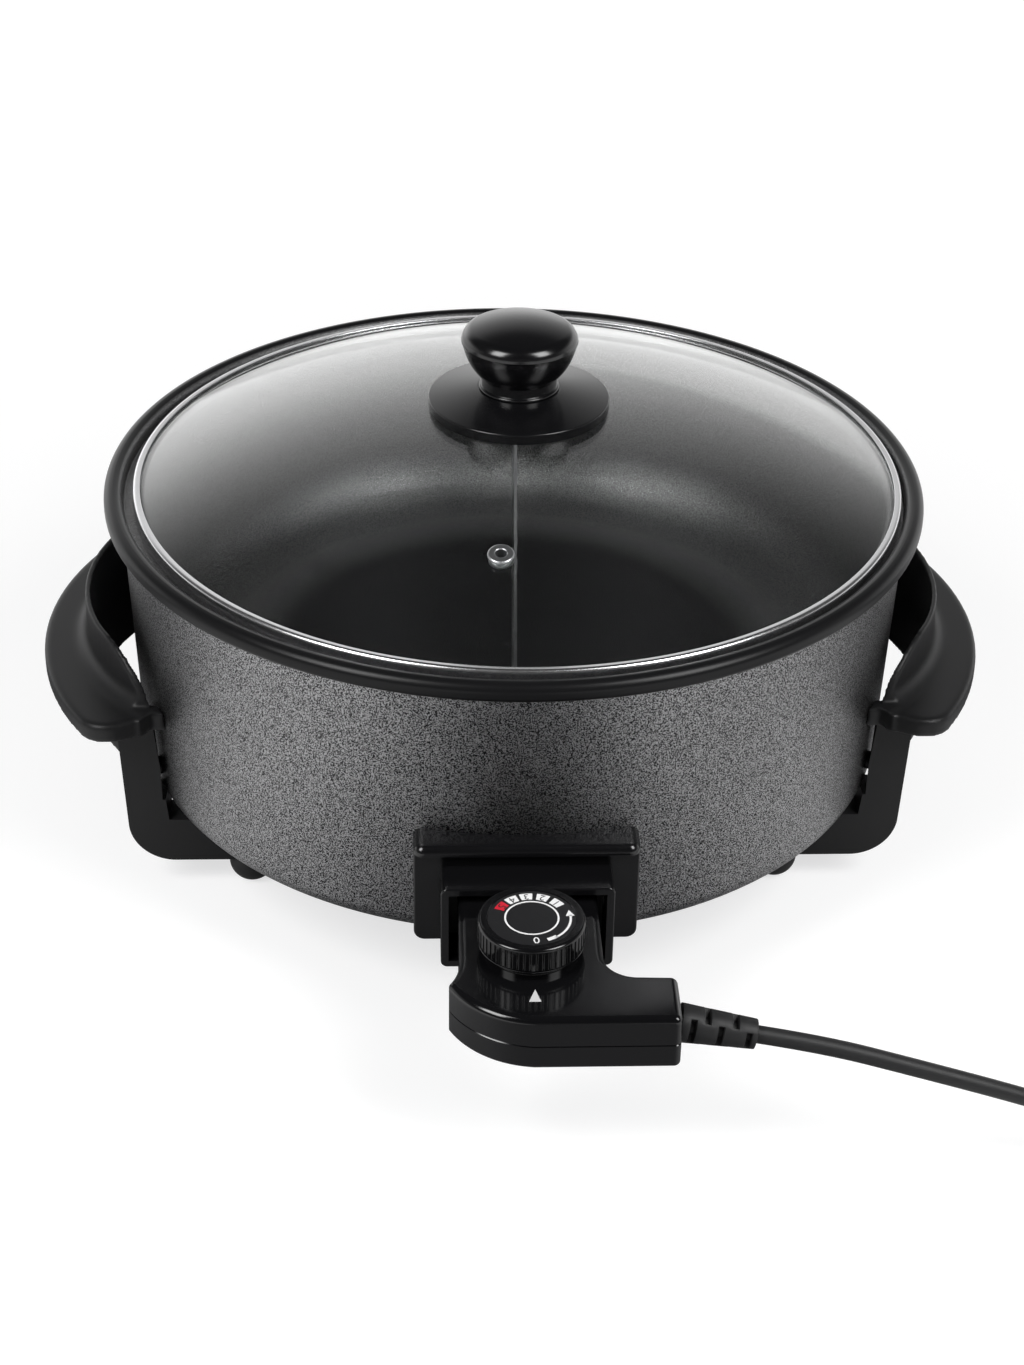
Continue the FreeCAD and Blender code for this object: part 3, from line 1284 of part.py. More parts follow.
def cord_tie():
    """A flat band round both layers of the coil, on the side away from the plug."""
    clear = 0.3
    band = 0.6
    inner_r = COIL_OUT_R - 6.5 * COIL_STEP - CORD_R - clear
    outer_r = COIL_OUT_R + CORD_R + clear
    low = CORD_LIE - CORD_R - clear
    high = CORD_LIE + COIL_LAYER + CORD_R + clear
    outer = Part.makeBox(outer_r - inner_r + 2 * band, 4.0, high - low + 2 * band,
                         V(COIL_X - outer_r - band, COIL_Y + AXIS_Y - 2.0, low - band))
    inner = Part.makeBox(outer_r - inner_r, 6.0, high - low, V(COIL_X - outer_r, COIL_Y + AXIS_Y - 3.0, low))
    outer = outer.makeFillet(2.0, edges_where(outer, lambda b: b.YLength > 1))
    return outer.cut(inner.makeFillet(1.4, edges_where(inner, lambda b: b.YLength > 1)))


# Plug: a round two-pin mains plug that lies beside the coil
def plug_point(r, s):
    return V(PLUG_X + r, PLUG_Y + AXIS_Y + s, PLUG_Z)


def plug_body():
    steps = [
        (0.0, 0.0),
        (5.4, 0.0),
        (6.8, 16.0),
        (9.0, 19.0),
        (14.0, 22.0, 15.0, 28.0),
        (15.6, 36.0, 18.6, 43.0),
        (PLUG_Z - 0.1, 45.5),
        (PLUG_Z - 0.1, PLUG_LONG - 0.8),
        (PLUG_Z - 0.9, PLUG_LONG),
        (0.0, PLUG_LONG),
        (0.0, 0.0),
    ]
    face = Part.Face(Part.Wire(chain(steps, plug_point)))
    body = face.revolve(plug_point(0, 0), V(0, 1, 0), 360)
    notch = Part.makeBox(7.0, 16.0, 4.0, plug_point(-3.5, PLUG_LONG - 15.0) + V(0, 0, PLUG_Z - 3.2))
    return body.cut([notch] + [plug_pin(side) for side in (-1, 1)])


def plug_pin(side):
    """A round pin whose root in the moulding is slimmer than its free length."""
    x = side * PLUG_PIN_X
    root = rod(PLUG_PIN_R - 0.5, plug_point(x, PLUG_LONG - PLUG_PIN_ROOT), plug_point(x, PLUG_LONG))
    end = plug_point(x, PLUG_LONG + PLUG_PIN_LONG - PLUG_PIN_TIP)
    tip = Part.makeCone(PLUG_PIN_R, PLUG_PIN_R - 1.2, PLUG_PIN_TIP, end, V(0, 1, 0))
    return root.fuse([rod(PLUG_PIN_R, plug_point(x, PLUG_LONG), end), tip])


tub = casing_solid()
element = heating_element()
four_leg_screws = [leg_screw_solid(), mirrored_x(leg_screw_solid())]
four_leg_screws += [mirrored_y(s) for s in four_leg_screws]
four_nuts = [leg_nut(), mirrored_x(leg_nut())]
four_nuts += [mirrored_y(s) for s in four_nuts]
wall_screws = [post_screw(), mirrored_x(post_screw()), lug_screw(), mirrored_x(lug_screw())]
wall_screws += [mirrored_y(s) for s in wall_screws]
base_top = CASING_DEPTH - CLEAR
base_low = CASING_DEPTH + CLEAR
base_holes = [upright(LEG_SCREW_R, sx * LEG_SCREW_X, sy * (LEG_FRONT + LEG_BACK) / 2, base_top, base_low)
              for sx in (-1, 1) for sy in (-1, 1)]
base_holes += [upright(STUD_R, 0, 0, base_top, base_low)]
socket_screws = [socket_screw(side) for side in (-1, 1)]

save(inner_pan(), "inner_pan")
save(casing(wall_screws + base_holes + socket_screws), "casing")
save(element, "heating_element")
save(heat_spreader(element), "heat_spreader")
save(probe_guide(), "probe_guide")
save(centre_stud(), "centre_stud")
save(centre_nut(), "centre_nut")
save(terminal_block(), "terminal_block")
save(group([pin_rod(-1), pin_rod(1)]), "terminal_pins")
save(socket_housing(tub), "socket_housing")
save(socket_sleeve(), "socket_sleeve")
save(group(socket_screws), "socket_screws")

corner_leg = leg(tub)
corner_foot = foot()
for piece, name in ((corner_leg, "leg"), (corner_foot, "foot")):
    save(piece, name + "_front_right")
    save(mirrored_x(piece), name + "_front_left")
    save(mirrored_y(piece), name + "_back_right")
    save(mirrored_y(mirrored_x(piece)), name + "_back_left")
save(group(four_leg_screws), "leg_screws")
save(group(four_nuts), "leg_nuts")
save(group(wall_screws), "wall_screws")

right_handle = handle(tub)
save(right_handle, "handle_right")
save(mirrored_x(right_handle), "handle_left")

save(divider_plate(), "divider_plate")

save(lid_glass(), "lid_glass")
save(lid_ring(), "lid_ring")
save(vent_grommet(), "vent_grommet")
save(knob_gasket(), "knob_gasket")
save(knob_guard(), "knob_guard")
save(knob_grip(), "knob_grip")
save(knob_seat(), "knob_seat")
save(knob_screw(), "knob_screw")

top_shell = control_top_shell().fuse(screw_bosses()).removeSplitter()
save(top_shell, "control_top_shell")
save(control_bottom_shell(), "control_bottom_shell")
save(group([control_screw(x, y) for x, y in CASE_SCREWS]), "control_screws")
save(group([contact_sleeve(-1), contact_sleeve(1)]), "contact_sleeves")
save(probe_rod(), "probe_rod")
save(thermostat_switch(), "thermostat_switch")
save(dial_knob(), "dial_knob")
save(dial_disc(), "dial_disc")
save(dial_shaft(), "dial_shaft")

save(strain_relief(), "strain_relief")
save(free_tube(run_points(), "cord_run"), "cord_run")
save(cord_coil(), "cord_coil")
save(free_tube(tail_points(), "cord_tail"), "cord_tail")
save(cord_tie(), "cord_tie")
save(plug_body(), "plug_body")
save(group([plug_pin(-1), plug_pin(1)]), "plug_pins")
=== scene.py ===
import bmesh
import bpy
import math
from mathutils import Matrix, Vector
from mathutils.geometry import interpolate_bezier


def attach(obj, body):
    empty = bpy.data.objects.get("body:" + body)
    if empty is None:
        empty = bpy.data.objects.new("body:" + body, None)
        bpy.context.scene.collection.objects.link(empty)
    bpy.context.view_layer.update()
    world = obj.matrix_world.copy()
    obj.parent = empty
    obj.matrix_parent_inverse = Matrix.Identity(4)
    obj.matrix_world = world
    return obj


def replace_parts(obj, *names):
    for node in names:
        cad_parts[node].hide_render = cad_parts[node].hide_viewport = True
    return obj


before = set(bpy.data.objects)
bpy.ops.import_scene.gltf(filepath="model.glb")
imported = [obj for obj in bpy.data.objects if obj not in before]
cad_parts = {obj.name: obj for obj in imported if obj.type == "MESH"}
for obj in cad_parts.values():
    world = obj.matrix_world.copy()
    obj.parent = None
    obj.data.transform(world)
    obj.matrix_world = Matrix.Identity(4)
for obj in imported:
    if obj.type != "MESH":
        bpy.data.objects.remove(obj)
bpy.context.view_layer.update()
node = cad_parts


# Camera: it looks down on the thermostat's side of the pan from about a metre away.
# Its lens and place were found from the two edges of the pan's rim in the photograph.
LENS_MM = 66.18
SENSOR_MM = 36
CAMERA_PLACE = (-0.0475, -1.0513, 0.7582)
LOOK_ASIDE = -2.51
LOOK_DOWN = 32.10
ROLL = 0.98
camera_data = bpy.data.cameras.new("camera")
camera_data.lens = LENS_MM
camera_data.sensor_width = SENSOR_MM
camera = bpy.data.objects.new("camera", camera_data)
bpy.context.collection.objects.link(camera)
camera_turn = (Matrix.Rotation(math.radians(LOOK_ASIDE), 4, "Z")
               @ Matrix.Rotation(math.radians(90 - LOOK_DOWN), 4, "X")
               @ Matrix.Rotation(math.radians(ROLL), 4, "Z"))
camera.matrix_world = Matrix.Translation(CAMERA_PLACE) @ camera_turn
bpy.context.scene.camera = camera
bpy.context.scene.view_settings.view_transform = "Standard"


# White table: one seamless sheet, which the camera sees white with the appliance's pale shadow on it.
# Polished things see it white behind the appliance, and in front of it only in two painted pools of the
# softboxes' light, at both sides.
# For all other light it is grey, so that black mouldings aren't washed out from below.
FLOOR_HALF = 6.0
TABLE_GREY = (0.20, 0.20, 0.205, 1)
SHADOWED_WHITE = (0.38, 0.38, 0.375, 1)
GLOW_NEAR = (0.68, 0.68, 0.685)
GLOW_FAR = (0.95, 0.95, 0.95)
POOL_ACROSS_FADE = (0.08, 0.26)
POOL_AHEAD_FADE = (-0.12, 0.08)
BACK_FADE = (0.13, 0.42)
FAR_FADE = (0.4, 1.6)
floor_mesh = bmesh.new()
bmesh.ops.create_grid(floor_mesh, x_segments=1, y_segments=1, size=FLOOR_HALF)
floor_data = bpy.data.meshes.new("table")
floor_mesh.to_mesh(floor_data)
floor_mesh.free()
table = bpy.data.objects.new("table", floor_data)
bpy.context.collection.objects.link(table)


class Ink:
    """One output of a shader node. Plain Python operators on it add Math nodes.

    Its one method adds any other node, with its settings set before its sockets.
    """

    def __init__(self, tree, socket=None):
        self.tree = tree
        self.socket = socket

    def node(self, kind, settings=None, sockets=None, out=0):
        made = self.tree.nodes.new("ShaderNode" + kind)
        for name, value in (settings or {}).items():
            if name == "stops":
                ramp = made.color_ramp.elements
                while len(ramp) < len(value):
                    ramp.new(0.5)
                for stop, (position, shade) in zip(ramp, value):
                    stop.position = position
                    stop.color = (shade, shade, shade, 1)
            else:
                setattr(made, name, value)
        for name, value in (sockets or {}).items():
            if isinstance(value, Ink):
                self.tree.links.new(value.socket, made.inputs[name])
            else:
                made.inputs[name].default_value = value
        return Ink(self.tree, made.outputs[out] if made.outputs else None)

    def __add__(self, other):
        return self.node("Math", {"operation": "ADD"}, {0: self, 1: other})

    def __sub__(self, other):
        return self.node("Math", {"operation": "SUBTRACT"}, {0: self, 1: other})

    def __rsub__(self, other):
        return self.node("Math", {"operation": "SUBTRACT"}, {0: other, 1: self})

    def __mul__(self, other):
        return self.node("Math", {"operation": "MULTIPLY"}, {0: self, 1: other})

    __radd__ = __add__
    __rmul__ = __mul__


def start_finish(name):
    """A new empty material: its tree, ready for nodes, and the place on the piece in metres."""
    material = bpy.data.materials.new(name)
    material.use_nodes = True
    material.node_tree.nodes.clear()
    ink = Ink(material.node_tree)
    return material, ink, ink.node("TexCoord", out="Object")


def split(ink, vector, axes):
    """A vector's parts along the named axes."""
    parts = ink.node("SeparateXYZ", {}, {0: vector}).socket.node.outputs
    return [Ink(ink.tree, parts[axis]) for axis in axes]


def rise(ink, value, low, high, start=0.0, end=1.0):
    """Goes smoothly from start to end while a value goes from low to high."""
    return ink.node("MapRange", {"interpolation_type": "SMOOTHSTEP"},
                    {"Value": value, "From Min": low, "From Max": high, "To Min": start, "To Max": end})


def blend(ink, share, first, second):
    """A colour between two, each of them a plain colour or another node's."""
    first, second = (c if isinstance(c, Ink) else (*c, 1) for c in (first, second))
    return ink.node("Mix", {"data_type": "RGBA"}, {0: share, 6: first, 7: second}, out=2)


def ray_kinds(ink):
    """Whether a ray comes from the camera, from something polished, or through glass."""
    return [ink.node("LightPath", out=kind)
            for kind in ("Is Camera Ray", "Is Glossy Ray", "Is Transmission Ray")]


table_white, ink, place = start_finish("table_white")
sideways, ahead = split(ink, place, "XY")
aside = ink.node("Math", {"operation": "ABSOLUTE"}, {0: sideways})
away = ink.node("VectorMath", {"operation": "LENGTH"}, {0: place}, out="Value")
# Painted pools of lamp light: polished things see the table white only at both sides in front of the
# appliance.
painted_pool_across = rise(ink, aside, *POOL_ACROSS_FADE)
painted_pool_ahead = rise(ink, 0 - ahead, *POOL_AHEAD_FADE)
behind = rise(ink, ahead, *BACK_FADE)
far_off = rise(ink, away, *FAR_FADE)
grey_top = ink.node("BsdfPrincipled", {}, {"Base Color": TABLE_GREY, "Roughness": 0.5})
shadowed = ink.node("BsdfDiffuse", {}, {"Color": SHADOWED_WHITE})
glow = ink.node("Emission", {}, {"Color": blend(ink, far_off, GLOW_NEAR, GLOW_FAR), "Strength": 1.0})
white_top = ink.node("AddShader", {}, {0: shadowed, 1: glow})
to_camera, to_polish, through_glass = ray_kinds(ink)
seen_white = to_camera + to_polish * (painted_pool_across * painted_pool_ahead + behind) + through_glass
ink.node("OutputMaterial", {},
         {"Surface": ink.node("MixShader", {}, {0: seen_white, 1: grey_top, 2: white_top})})
floor_data.materials.append(table_white)


# Studio room: white to the camera, and plain soft light for everything that isn't polished.
# Polished things and glass see two white walls that fade with height: a low one all round,
# brightest behind the pan, and a tall one straight behind it, a little brighter at the left.
# A wall is a row of (height, brightness), and its place is (from depth, to depth, dim, bright).
ROOM_LIGHT = 0.25
WHITE = (1, 1, 1, 1)
LOW_WALL = [(0.0, 1.0), (0.20, 1.0), (0.32, 0.36), (0.44, 0.05), (1.0, 0.02)]
TALL_WALL = [(0.0, 1.0), (0.20, 1.0), (0.30, 0.88), (0.45, 0.60), (0.62, 0.38), (0.72, 0.12), (0.82, 0.0),
             (1.0, 0.0)]
ALL_ROUND = (-0.4, 0.6, 0.12, 1.35)
STRAIGHT_BACK = (0.48, 0.88, 0.0, 1.30)
LEFT_GAIN = 0.8
world = bpy.data.worlds.new("studio")
bpy.context.scene.world = world
world.use_nodes = True
world.node_tree.nodes.clear()
room = Ink(world.node_tree)
width, depth, height = split(room, room.node("TexCoord", out="Generated"), "XYZ")
low_wall = room.node("ValToRGB", {"stops": LOW_WALL}, {0: height})
tall_wall = room.node("ValToRGB", {"stops": TALL_WALL}, {0: height})
all_round = low_wall * rise(room, depth, *ALL_ROUND)
straight_back = tall_wall * rise(room, depth, *STRAIGHT_BACK) * (1 - width * LEFT_GAIN)
brightness = room.node("Math", {"operation": "MAXIMUM"}, {0: all_round, 1: straight_back})
to_camera, to_polish, through_glass = ray_kinds(room)
soft = room.node("Background", {}, {"Color": WHITE, "Strength": ROOM_LIGHT})
walls = room.node("Background", {}, {"Color": brightness, "Strength": 1.0})
backdrop = room.node("Background", {}, {"Color": WHITE, "Strength": 1.0})
indoors = room.node("MixShader", {}, {0: to_polish + through_glass, 1: soft, 2: walls})
everywhere = room.node("MixShader", {}, {0: to_camera, 1: indoors, 2: backdrop})
room.node("OutputWorld", {}, {"Surface": everywhere})


# Two tall softboxes stand in front, one at either side, brightest in the middle of their cloth.
# Their soft reflections lie in the bowl's far corner, on the knob, the rim and the thermostat.
AXIS_Y = 0.0475
LAMP_WIDE = 0.85
LAMP_HIGH = 1.20
LAMP_WATTS = 40
LAMP_PLACES = {"softbox_left": (-0.94, -0.75, 1.25), "softbox_right": (0.91, -0.75, 1.25)}
LAMP_AIM = (0.0, AXIS_Y, 0.12)
EDGE_FADE = 0.3
for name, stand in LAMP_PLACES.items():
    lamp_data = bpy.data.lights.new(name, "AREA")
    lamp_data.shape = "RECTANGLE"
    lamp_data.size = LAMP_WIDE
    lamp_data.size_y = LAMP_HIGH
    lamp_data.energy = LAMP_WATTS
    lamp_data.use_nodes = True
    lamp_data.node_tree.nodes.clear()
    cloth = Ink(lamp_data.node_tree)
    on_cloth = cloth.node("NewGeometry", out="Parametric")
    strength = 1.0
    for share in split(cloth, on_cloth, "XY"):
        from_edge = 0.5 - cloth.node("Math", {"operation": "ABSOLUTE"}, {0: share - 0.5})
        strength = strength * rise(cloth, from_edge, 0.0, EDGE_FADE)
    lamp_glow = cloth.node("Emission", {}, {"Color": WHITE, "Strength": strength})
    cloth.node("OutputLight", {}, {"Surface": lamp_glow})
    lamp = bpy.data.objects.new(name, lamp_data)
    bpy.context.collection.objects.link(lamp)
    lamp_turn = (Vector(LAMP_AIM) - Vector(stand)).to_track_quat("-Z", "Y")
    lamp.matrix_world = Matrix.Translation(stand) @ lamp_turn.to_matrix().to_4x4()


# Casing: a drawn steel tub with baked hammertone paint, hung from the rim.
# The paint dries in small raised grains; their tops carry a painted highlight and the furrows between them
# painted shade.
COARSE_GRAIN = 0.00065
FINE_GRAIN = 0.00040
FURROW = 0.466
GRAIN_TOP = 0.54
GRAIN_DEPTH = 0.00026
FURROW_PAINTED_SHADE = (0.012, 0.012, 0.013)
GRAIN_TOP_PAINTED_LIGHT = (0.36, 0.36, 0.365)


def end_finish(ink, sockets, bump=None, depth=None, strength=1.0):
    """Closes a material with one Principled shader, and a bump of the given depth in metres if it has one."""
    if bump is not None:
        raised = {"Strength": strength, "Distance": depth, "Height": bump}
        sockets = {**sockets, "Normal": ink.node("Bump", {}, raised)}
    shader = ink.node("BsdfPrincipled", {}, sockets)
    ink.node("OutputMaterial", {}, {"Surface": shader})


def grain(ink, place, size, detail, roughness):
    """Noise whose grains are about size metres across, with finer detail on them."""
    return ink.node("TexNoise", {},
                    {"Vector": place, "Scale": 1 / size, "Detail": detail, "Roughness": roughness})


def dress(material, *names):
    """Gives CAD nodes a material."""
    for name in names:
        slots = node[name].data.materials
        slots.clear()
        slots.append(material)


hammertone, ink, place = start_finish("hammertone_paint")
coarse = grain(ink, place, COARSE_GRAIN, 1.0, 0.4)
fine = grain(ink, place, FINE_GRAIN, 1.0, 0.5)
bumps = coarse * 0.5 + fine * 0.5
# Painted light follows the grain's height: near black in the furrows as shade, pale on the tops as highlight.
grains = ink.node("ValToRGB", {"stops": [(FURROW, 0.0), (GRAIN_TOP, 1.0)]}, {0: bumps})
end_finish(ink, {"Base Color": blend(ink, grains, FURROW_PAINTED_SHADE, GRAIN_TOP_PAINTED_LIGHT), "Metallic": 1.0,
                 "Roughness": 0.36 - grains * 0.06},
           bumps, GRAIN_DEPTH)
dress(hammertone, "casing")


# Cooking pan: pressed aluminium under a black non-stick coat, matt on the bowl's floor and bead. On the
# bowl's wall the same coat is painted a paler metallic colour, a painted sheen where the lamps' glows lie,
# with a fine speckle.
# Profiles are corners of (radius, depth below the rim, rounding) in millimetres.
RIM_Z = 0.190
BOWL_PROFILE = [(0, 103, 0), (178.0, 103, 33), (180.9, 6, 4), (190.9, 6, 0.8), (190.9, -1.5, 4.5),
                (200, -1.5, 4.5), (200, 7.3, 2.5), (192.6, 7.3, 0.3), (192.6, 8, 0), (182.9, 8, 2),
                (179.95, 105, 35), (0, 105, 0)]
TURN_STEPS = 256
WALL_FROM = 0.112
WALL_TO = 0.168
BEAD_FROM = 0.1915
BEAD_TO = 0.1930
SPECKLE = 0.0006
SPECKLE_DEPTH = 0.00009
MATT_BLACK = (0.006, 0.006, 0.0065)
PAINTED_SHEEN_DARK = (0.085, 0.085, 0.086)
PAINTED_SHEEN_PALE = (0.27, 0.27, 0.272)
nonstick, ink, place = start_finish("non_stick_coat")
from_axis = ink.node("VectorMath", {"operation": "SUBTRACT"}, {0: place, 1: (0, AXIS_Y, 0)})
flat = ink.node("VectorMath", {"operation": "MULTIPLY"}, {0: from_axis, 1: (1, 1, 0)})
reach = ink.node("VectorMath", {"operation": "LENGTH"}, {0: flat}, out="Value")
bead = ink.node("MapRange", {}, {"Value": reach, "From Min": BEAD_FROM, "From Max": BEAD_TO})
# Painted sheen: only the wall gets the paler metallic colour, where the lamps' glows lie; the floor stays
# matt black.
painted_sheen = rise(ink, reach, WALL_FROM, WALL_TO) - bead
speckle = grain(ink, place, SPECKLE, 2.0, 0.6)
pores = ink.node("ValToRGB", {"stops": [(0.40, 0.0), (0.66, 1.0)]}, {0: speckle})
bowl_pores = (1 - bead) * pores
coat = blend(ink, pores, PAINTED_SHEEN_DARK, PAINTED_SHEEN_PALE)
end_finish(ink, {"Base Color": blend(ink, painted_sheen, MATT_BLACK, coat), "Metallic": painted_sheen * 0.92,
                 "Roughness": 0.30 - bowl_pores * 0.03, "Specular IOR Level": 0.18},
           bowl_pores, SPECKLE_DEPTH)


def turned(profile, centre_x=0.0):
    """Rounds a profile's corners and spins it. One that starts on the axis is open there."""
    ring = profile[0][0] > 0
    outline = []
    for before, corner, after in zip(profile[-1:] + profile[:-1], profile, profile[1:] + profile[:1]):
        here = Vector((corner[0], 0, -corner[1]))
        if not corner[2]:
            outline.append(here)
            continue
        back = Vector((before[0], 0, -before[1])) - here
        on = Vector((after[0], 0, -after[1])) - here
        bend = math.pi - back.angle(on)
        cut = corner[2] * math.tan(bend / 2)
        pull = 4 / 3 * math.tan(bend / 4) / math.tan(bend / 2)
        start = here + cut * back.normalized()
        end = here + cut * on.normalized()
        points = 6 + int(corner[2] * bend / 2.5)
        outline += interpolate_bezier(start, start.lerp(here, pull), end.lerp(here, pull), end, points)
    shape = bmesh.new()
    verts = [shape.verts.new(point) for point in outline]
    pairs = list(zip(verts, verts[1:])) + ([(verts[-1], verts[0])] if ring else [])
    edges = [shape.edges.new(pair) for pair in pairs]
    bmesh.ops.spin(shape, geom=verts + edges, cent=(0, 0, 0), axis=(0, 0, 1), angle=2 * math.pi,
                   steps=TURN_STEPS, use_merge=True)
    bmesh.ops.remove_doubles(shape, verts=shape.verts, dist=0.0005)
    bmesh.ops.recalc_face_normals(shape, faces=shape.faces)
    for face in shape.faces:
        face.smooth = True
    shape.transform(Matrix.Translation((centre_x, AXIS_Y, RIM_Z)) @ Matrix.Scale(0.001, 4))
    return shape


def finish_piece(shape, name, material, body, at=None):
    """Writes a bmesh to a named piece that rides on a body."""
    if at is not None:
        shape.transform(at)
    data = bpy.data.meshes.new(name)
    shape.to_mesh(data)
    shape.free()
    data.materials.append(material)
    piece = bpy.data.objects.new(name, data)
    bpy.context.collection.objects.link(piece)
    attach(piece, body)
    return piece


def even_shading(piece):
    """Lets each point's shading follow its largest faces, so flats stay flat beside roundings."""
    piece.modifiers.new("even_shading", "WEIGHTED_NORMAL").weight = 100
    return piece


bowl = finish_piece(turned(BOWL_PROFILE), "pan_bowl", nonstick, "pan")
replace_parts(even_shading(bowl), "inner_pan")


# Heater and fasteners under the pan: bright drawn steel, zinc plate, cast aluminium and pale ceramic.
# They show only from below and through the socket.
WEAR_PATCH = 0.006
CLAY_SPOT = 0.002
CLAY_DEPTH = 0.00005
CLAY_DARK = (0.62, 0.59, 0.53)
CLAY_PALE = (0.72, 0.70, 0.65)


def plain_metal(name, colour, rough):
    """A bare metal, a little darker and rougher in worn patches."""
    material, ink, place = start_finish(name)
    wear = grain(ink, place, WEAR_PATCH, 4.0, 0.6)
    end_finish(ink, {"Base Color": blend(ink, wear, colour, [c * 0.8 for c in colour]), "Metallic": 1.0,
                     "Roughness": rough + wear * 0.12})
    return material


steel = plain_metal("bright_steel", (0.66, 0.66, 0.67), 0.16)
zinc = plain_metal("zinc_plate", (0.52, 0.53, 0.54), 0.30)
cast = plain_metal("cast_aluminium", (0.58, 0.58, 0.59), 0.42)
brass = plain_metal("contact_brass", (0.62, 0.48, 0.22), 0.28)
dress(steel, "heating_element", "probe_guide", "terminal_pins", "probe_rod", "dial_shaft", "plug_pins")
dress(zinc, "centre_stud", "centre_nut", "socket_screws", "leg_screws", "leg_nuts", "wall_screws",
      "control_screws", "knob_screw")
dress(cast, "heat_spreader")
dress(brass, "contact_sleeves")
ceramic, ink, place = start_finish("ceramic")
clay = grain(ink, place, CLAY_SPOT, 3.0, 0.6)
end_finish(ink, {"Base Color": blend(ink, clay, CLAY_DARK, CLAY_PALE), "Roughness": 0.55}, clay, CLAY_DEPTH)
dress(ceramic, "thermostat_switch")


# Thermostat case, dial, knob and socket: black mouldings, polished on the case and dial, satin elsewhere.
# A faint ripple from the tool only bends their reflections a little.
RIPPLE = 0.012
RIPPLE_DEPTH = 0.00003
RIPPLE_STRENGTH = 0.4
MOULDING_BLACK = (0.004, 0.004, 0.0045, 1)


def moulding(name, rough):
    """A black plastic as smooth as its mould."""
    material, ink, place = start_finish(name)
    ripple = grain(ink, place, RIPPLE, 2.0, 0.5)
    end_finish(ink, {"Base Color": MOULDING_BLACK, "Roughness": rough + ripple * 0.05},
               ripple, RIPPLE_DEPTH, RIPPLE_STRENGTH)
    return material


gloss = moulding("polished_moulding", 0.09)
satin = moulding("satin_moulding", 0.15)
dress(gloss, "control_top_shell", "control_bottom_shell", "dial_knob")
dress(satin, "socket_housing", "socket_sleeve", "knob_grip", "knob_seat")


# Legs and handles: matt black phenolic with a fine etched grain, screwed through the casing's wall.
# The handles' edges and corners are rounded, as their mould leaves them.
ETCH = 0.0006
ETCH_DEPTH = 0.00004
DRIFT = 0.03
PHENOLIC_DARK = (0.007, 0.007, 0.0075)
PHENOLIC_PALE = (0.012, 0.012, 0.0125)
SKIN_VOXEL = 0.0010
ROUNDING_PASSES = 6
phenolic, ink, place = start_finish("matt_phenolic")
etch = grain(ink, place, ETCH, 2.0, 0.6)
drift = grain(ink, place, DRIFT, 2.0, 0.5)
end_finish(ink, {"Base Color": blend(ink, drift, PHENOLIC_DARK, PHENOLIC_PALE),
                 "Roughness": 0.38 + etch * 0.10, "Specular IOR Level": 0.25},
           etch, ETCH_DEPTH)
dress(phenolic, "leg_front_left", "leg_front_right", "leg_back_left", "leg_back_right", "terminal_block")
for name in ("handle_left", "handle_right"):
    copy = bmesh.new()
    copy.from_mesh(node[name].data)
    bmesh.ops.remove_doubles(copy, verts=copy.verts, dist=0.00001)
    handle = finish_piece(copy, name + "_moulded", phenolic, "pan")
    skin = handle.modifiers.new("skin", "REMESH")
    skin.mode = "VOXEL"
    skin.voxel_size = SKIN_VOXEL
    skin.use_smooth_shade = True
    rounding = handle.modifiers.new("rounding", "SMOOTH")
    rounding.factor = 0.5
    rounding.iterations = ROUNDING_PASSES
    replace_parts(handle, name)


# Feet, tie and plug: black rubber and soft vinyl, a little dusty. The cord and its sleeve share it.
# The gasket between the knob and the glass is grey silicone.
DUST_PATCH = 0.004
RUBBER_DARK = (0.008, 0.008, 0.0085)
RUBBER_DUSTY = (0.016, 0.016, 0.0165)
SILICONE_GREY = (0.28, 0.28, 0.27, 1)
rubber, ink, place = start_finish("black_rubber")
dust = grain(ink, place, DUST_PATCH, 3.0, 0.6)
end_finish(ink, {"Base Color": blend(ink, dust, RUBBER_DARK, RUBBER_DUSTY),
                 "Roughness": 0.46 + dust * 0.14, "Specular IOR Level": 0.4})
dress(rubber, "foot_front_left", "foot_front_right", "foot_back_left", "foot_back_right", "plug_body",
      "cord_tie")
silicone, ink, place = start_finish("grey_silicone")
end_finish(ink, {"Base Color": SILICONE_GREY, "Roughness": 0.5})
dress(silicone, "knob_gasket")


# Divider: one loose plate of sheet aluminium with a rolled finish, standing across the bowl.
# The rolling left fine lines along the plate, and the plate lifts straight out.
ROLLED_LINE = 0.0008
LINE_STRETCH = (1, 0.03, 1)
ROLLED_DARK = (0.17, 0.17, 0.175)
ROLLED_PALE = (0.23, 0.23, 0.235)
rolled, ink, place = start_finish("rolled_sheet")
stretched = ink.node("Mapping", {}, {"Vector": place, "Scale": LINE_STRETCH})
lines = grain(ink, stretched, ROLLED_LINE, 2.0, 0.5)
end_finish(ink, {"Base Color": blend(ink, lines, ROLLED_DARK, ROLLED_PALE), "Metallic": 1.0,
                 "Roughness": 0.34})
dress(rolled, "divider_plate")


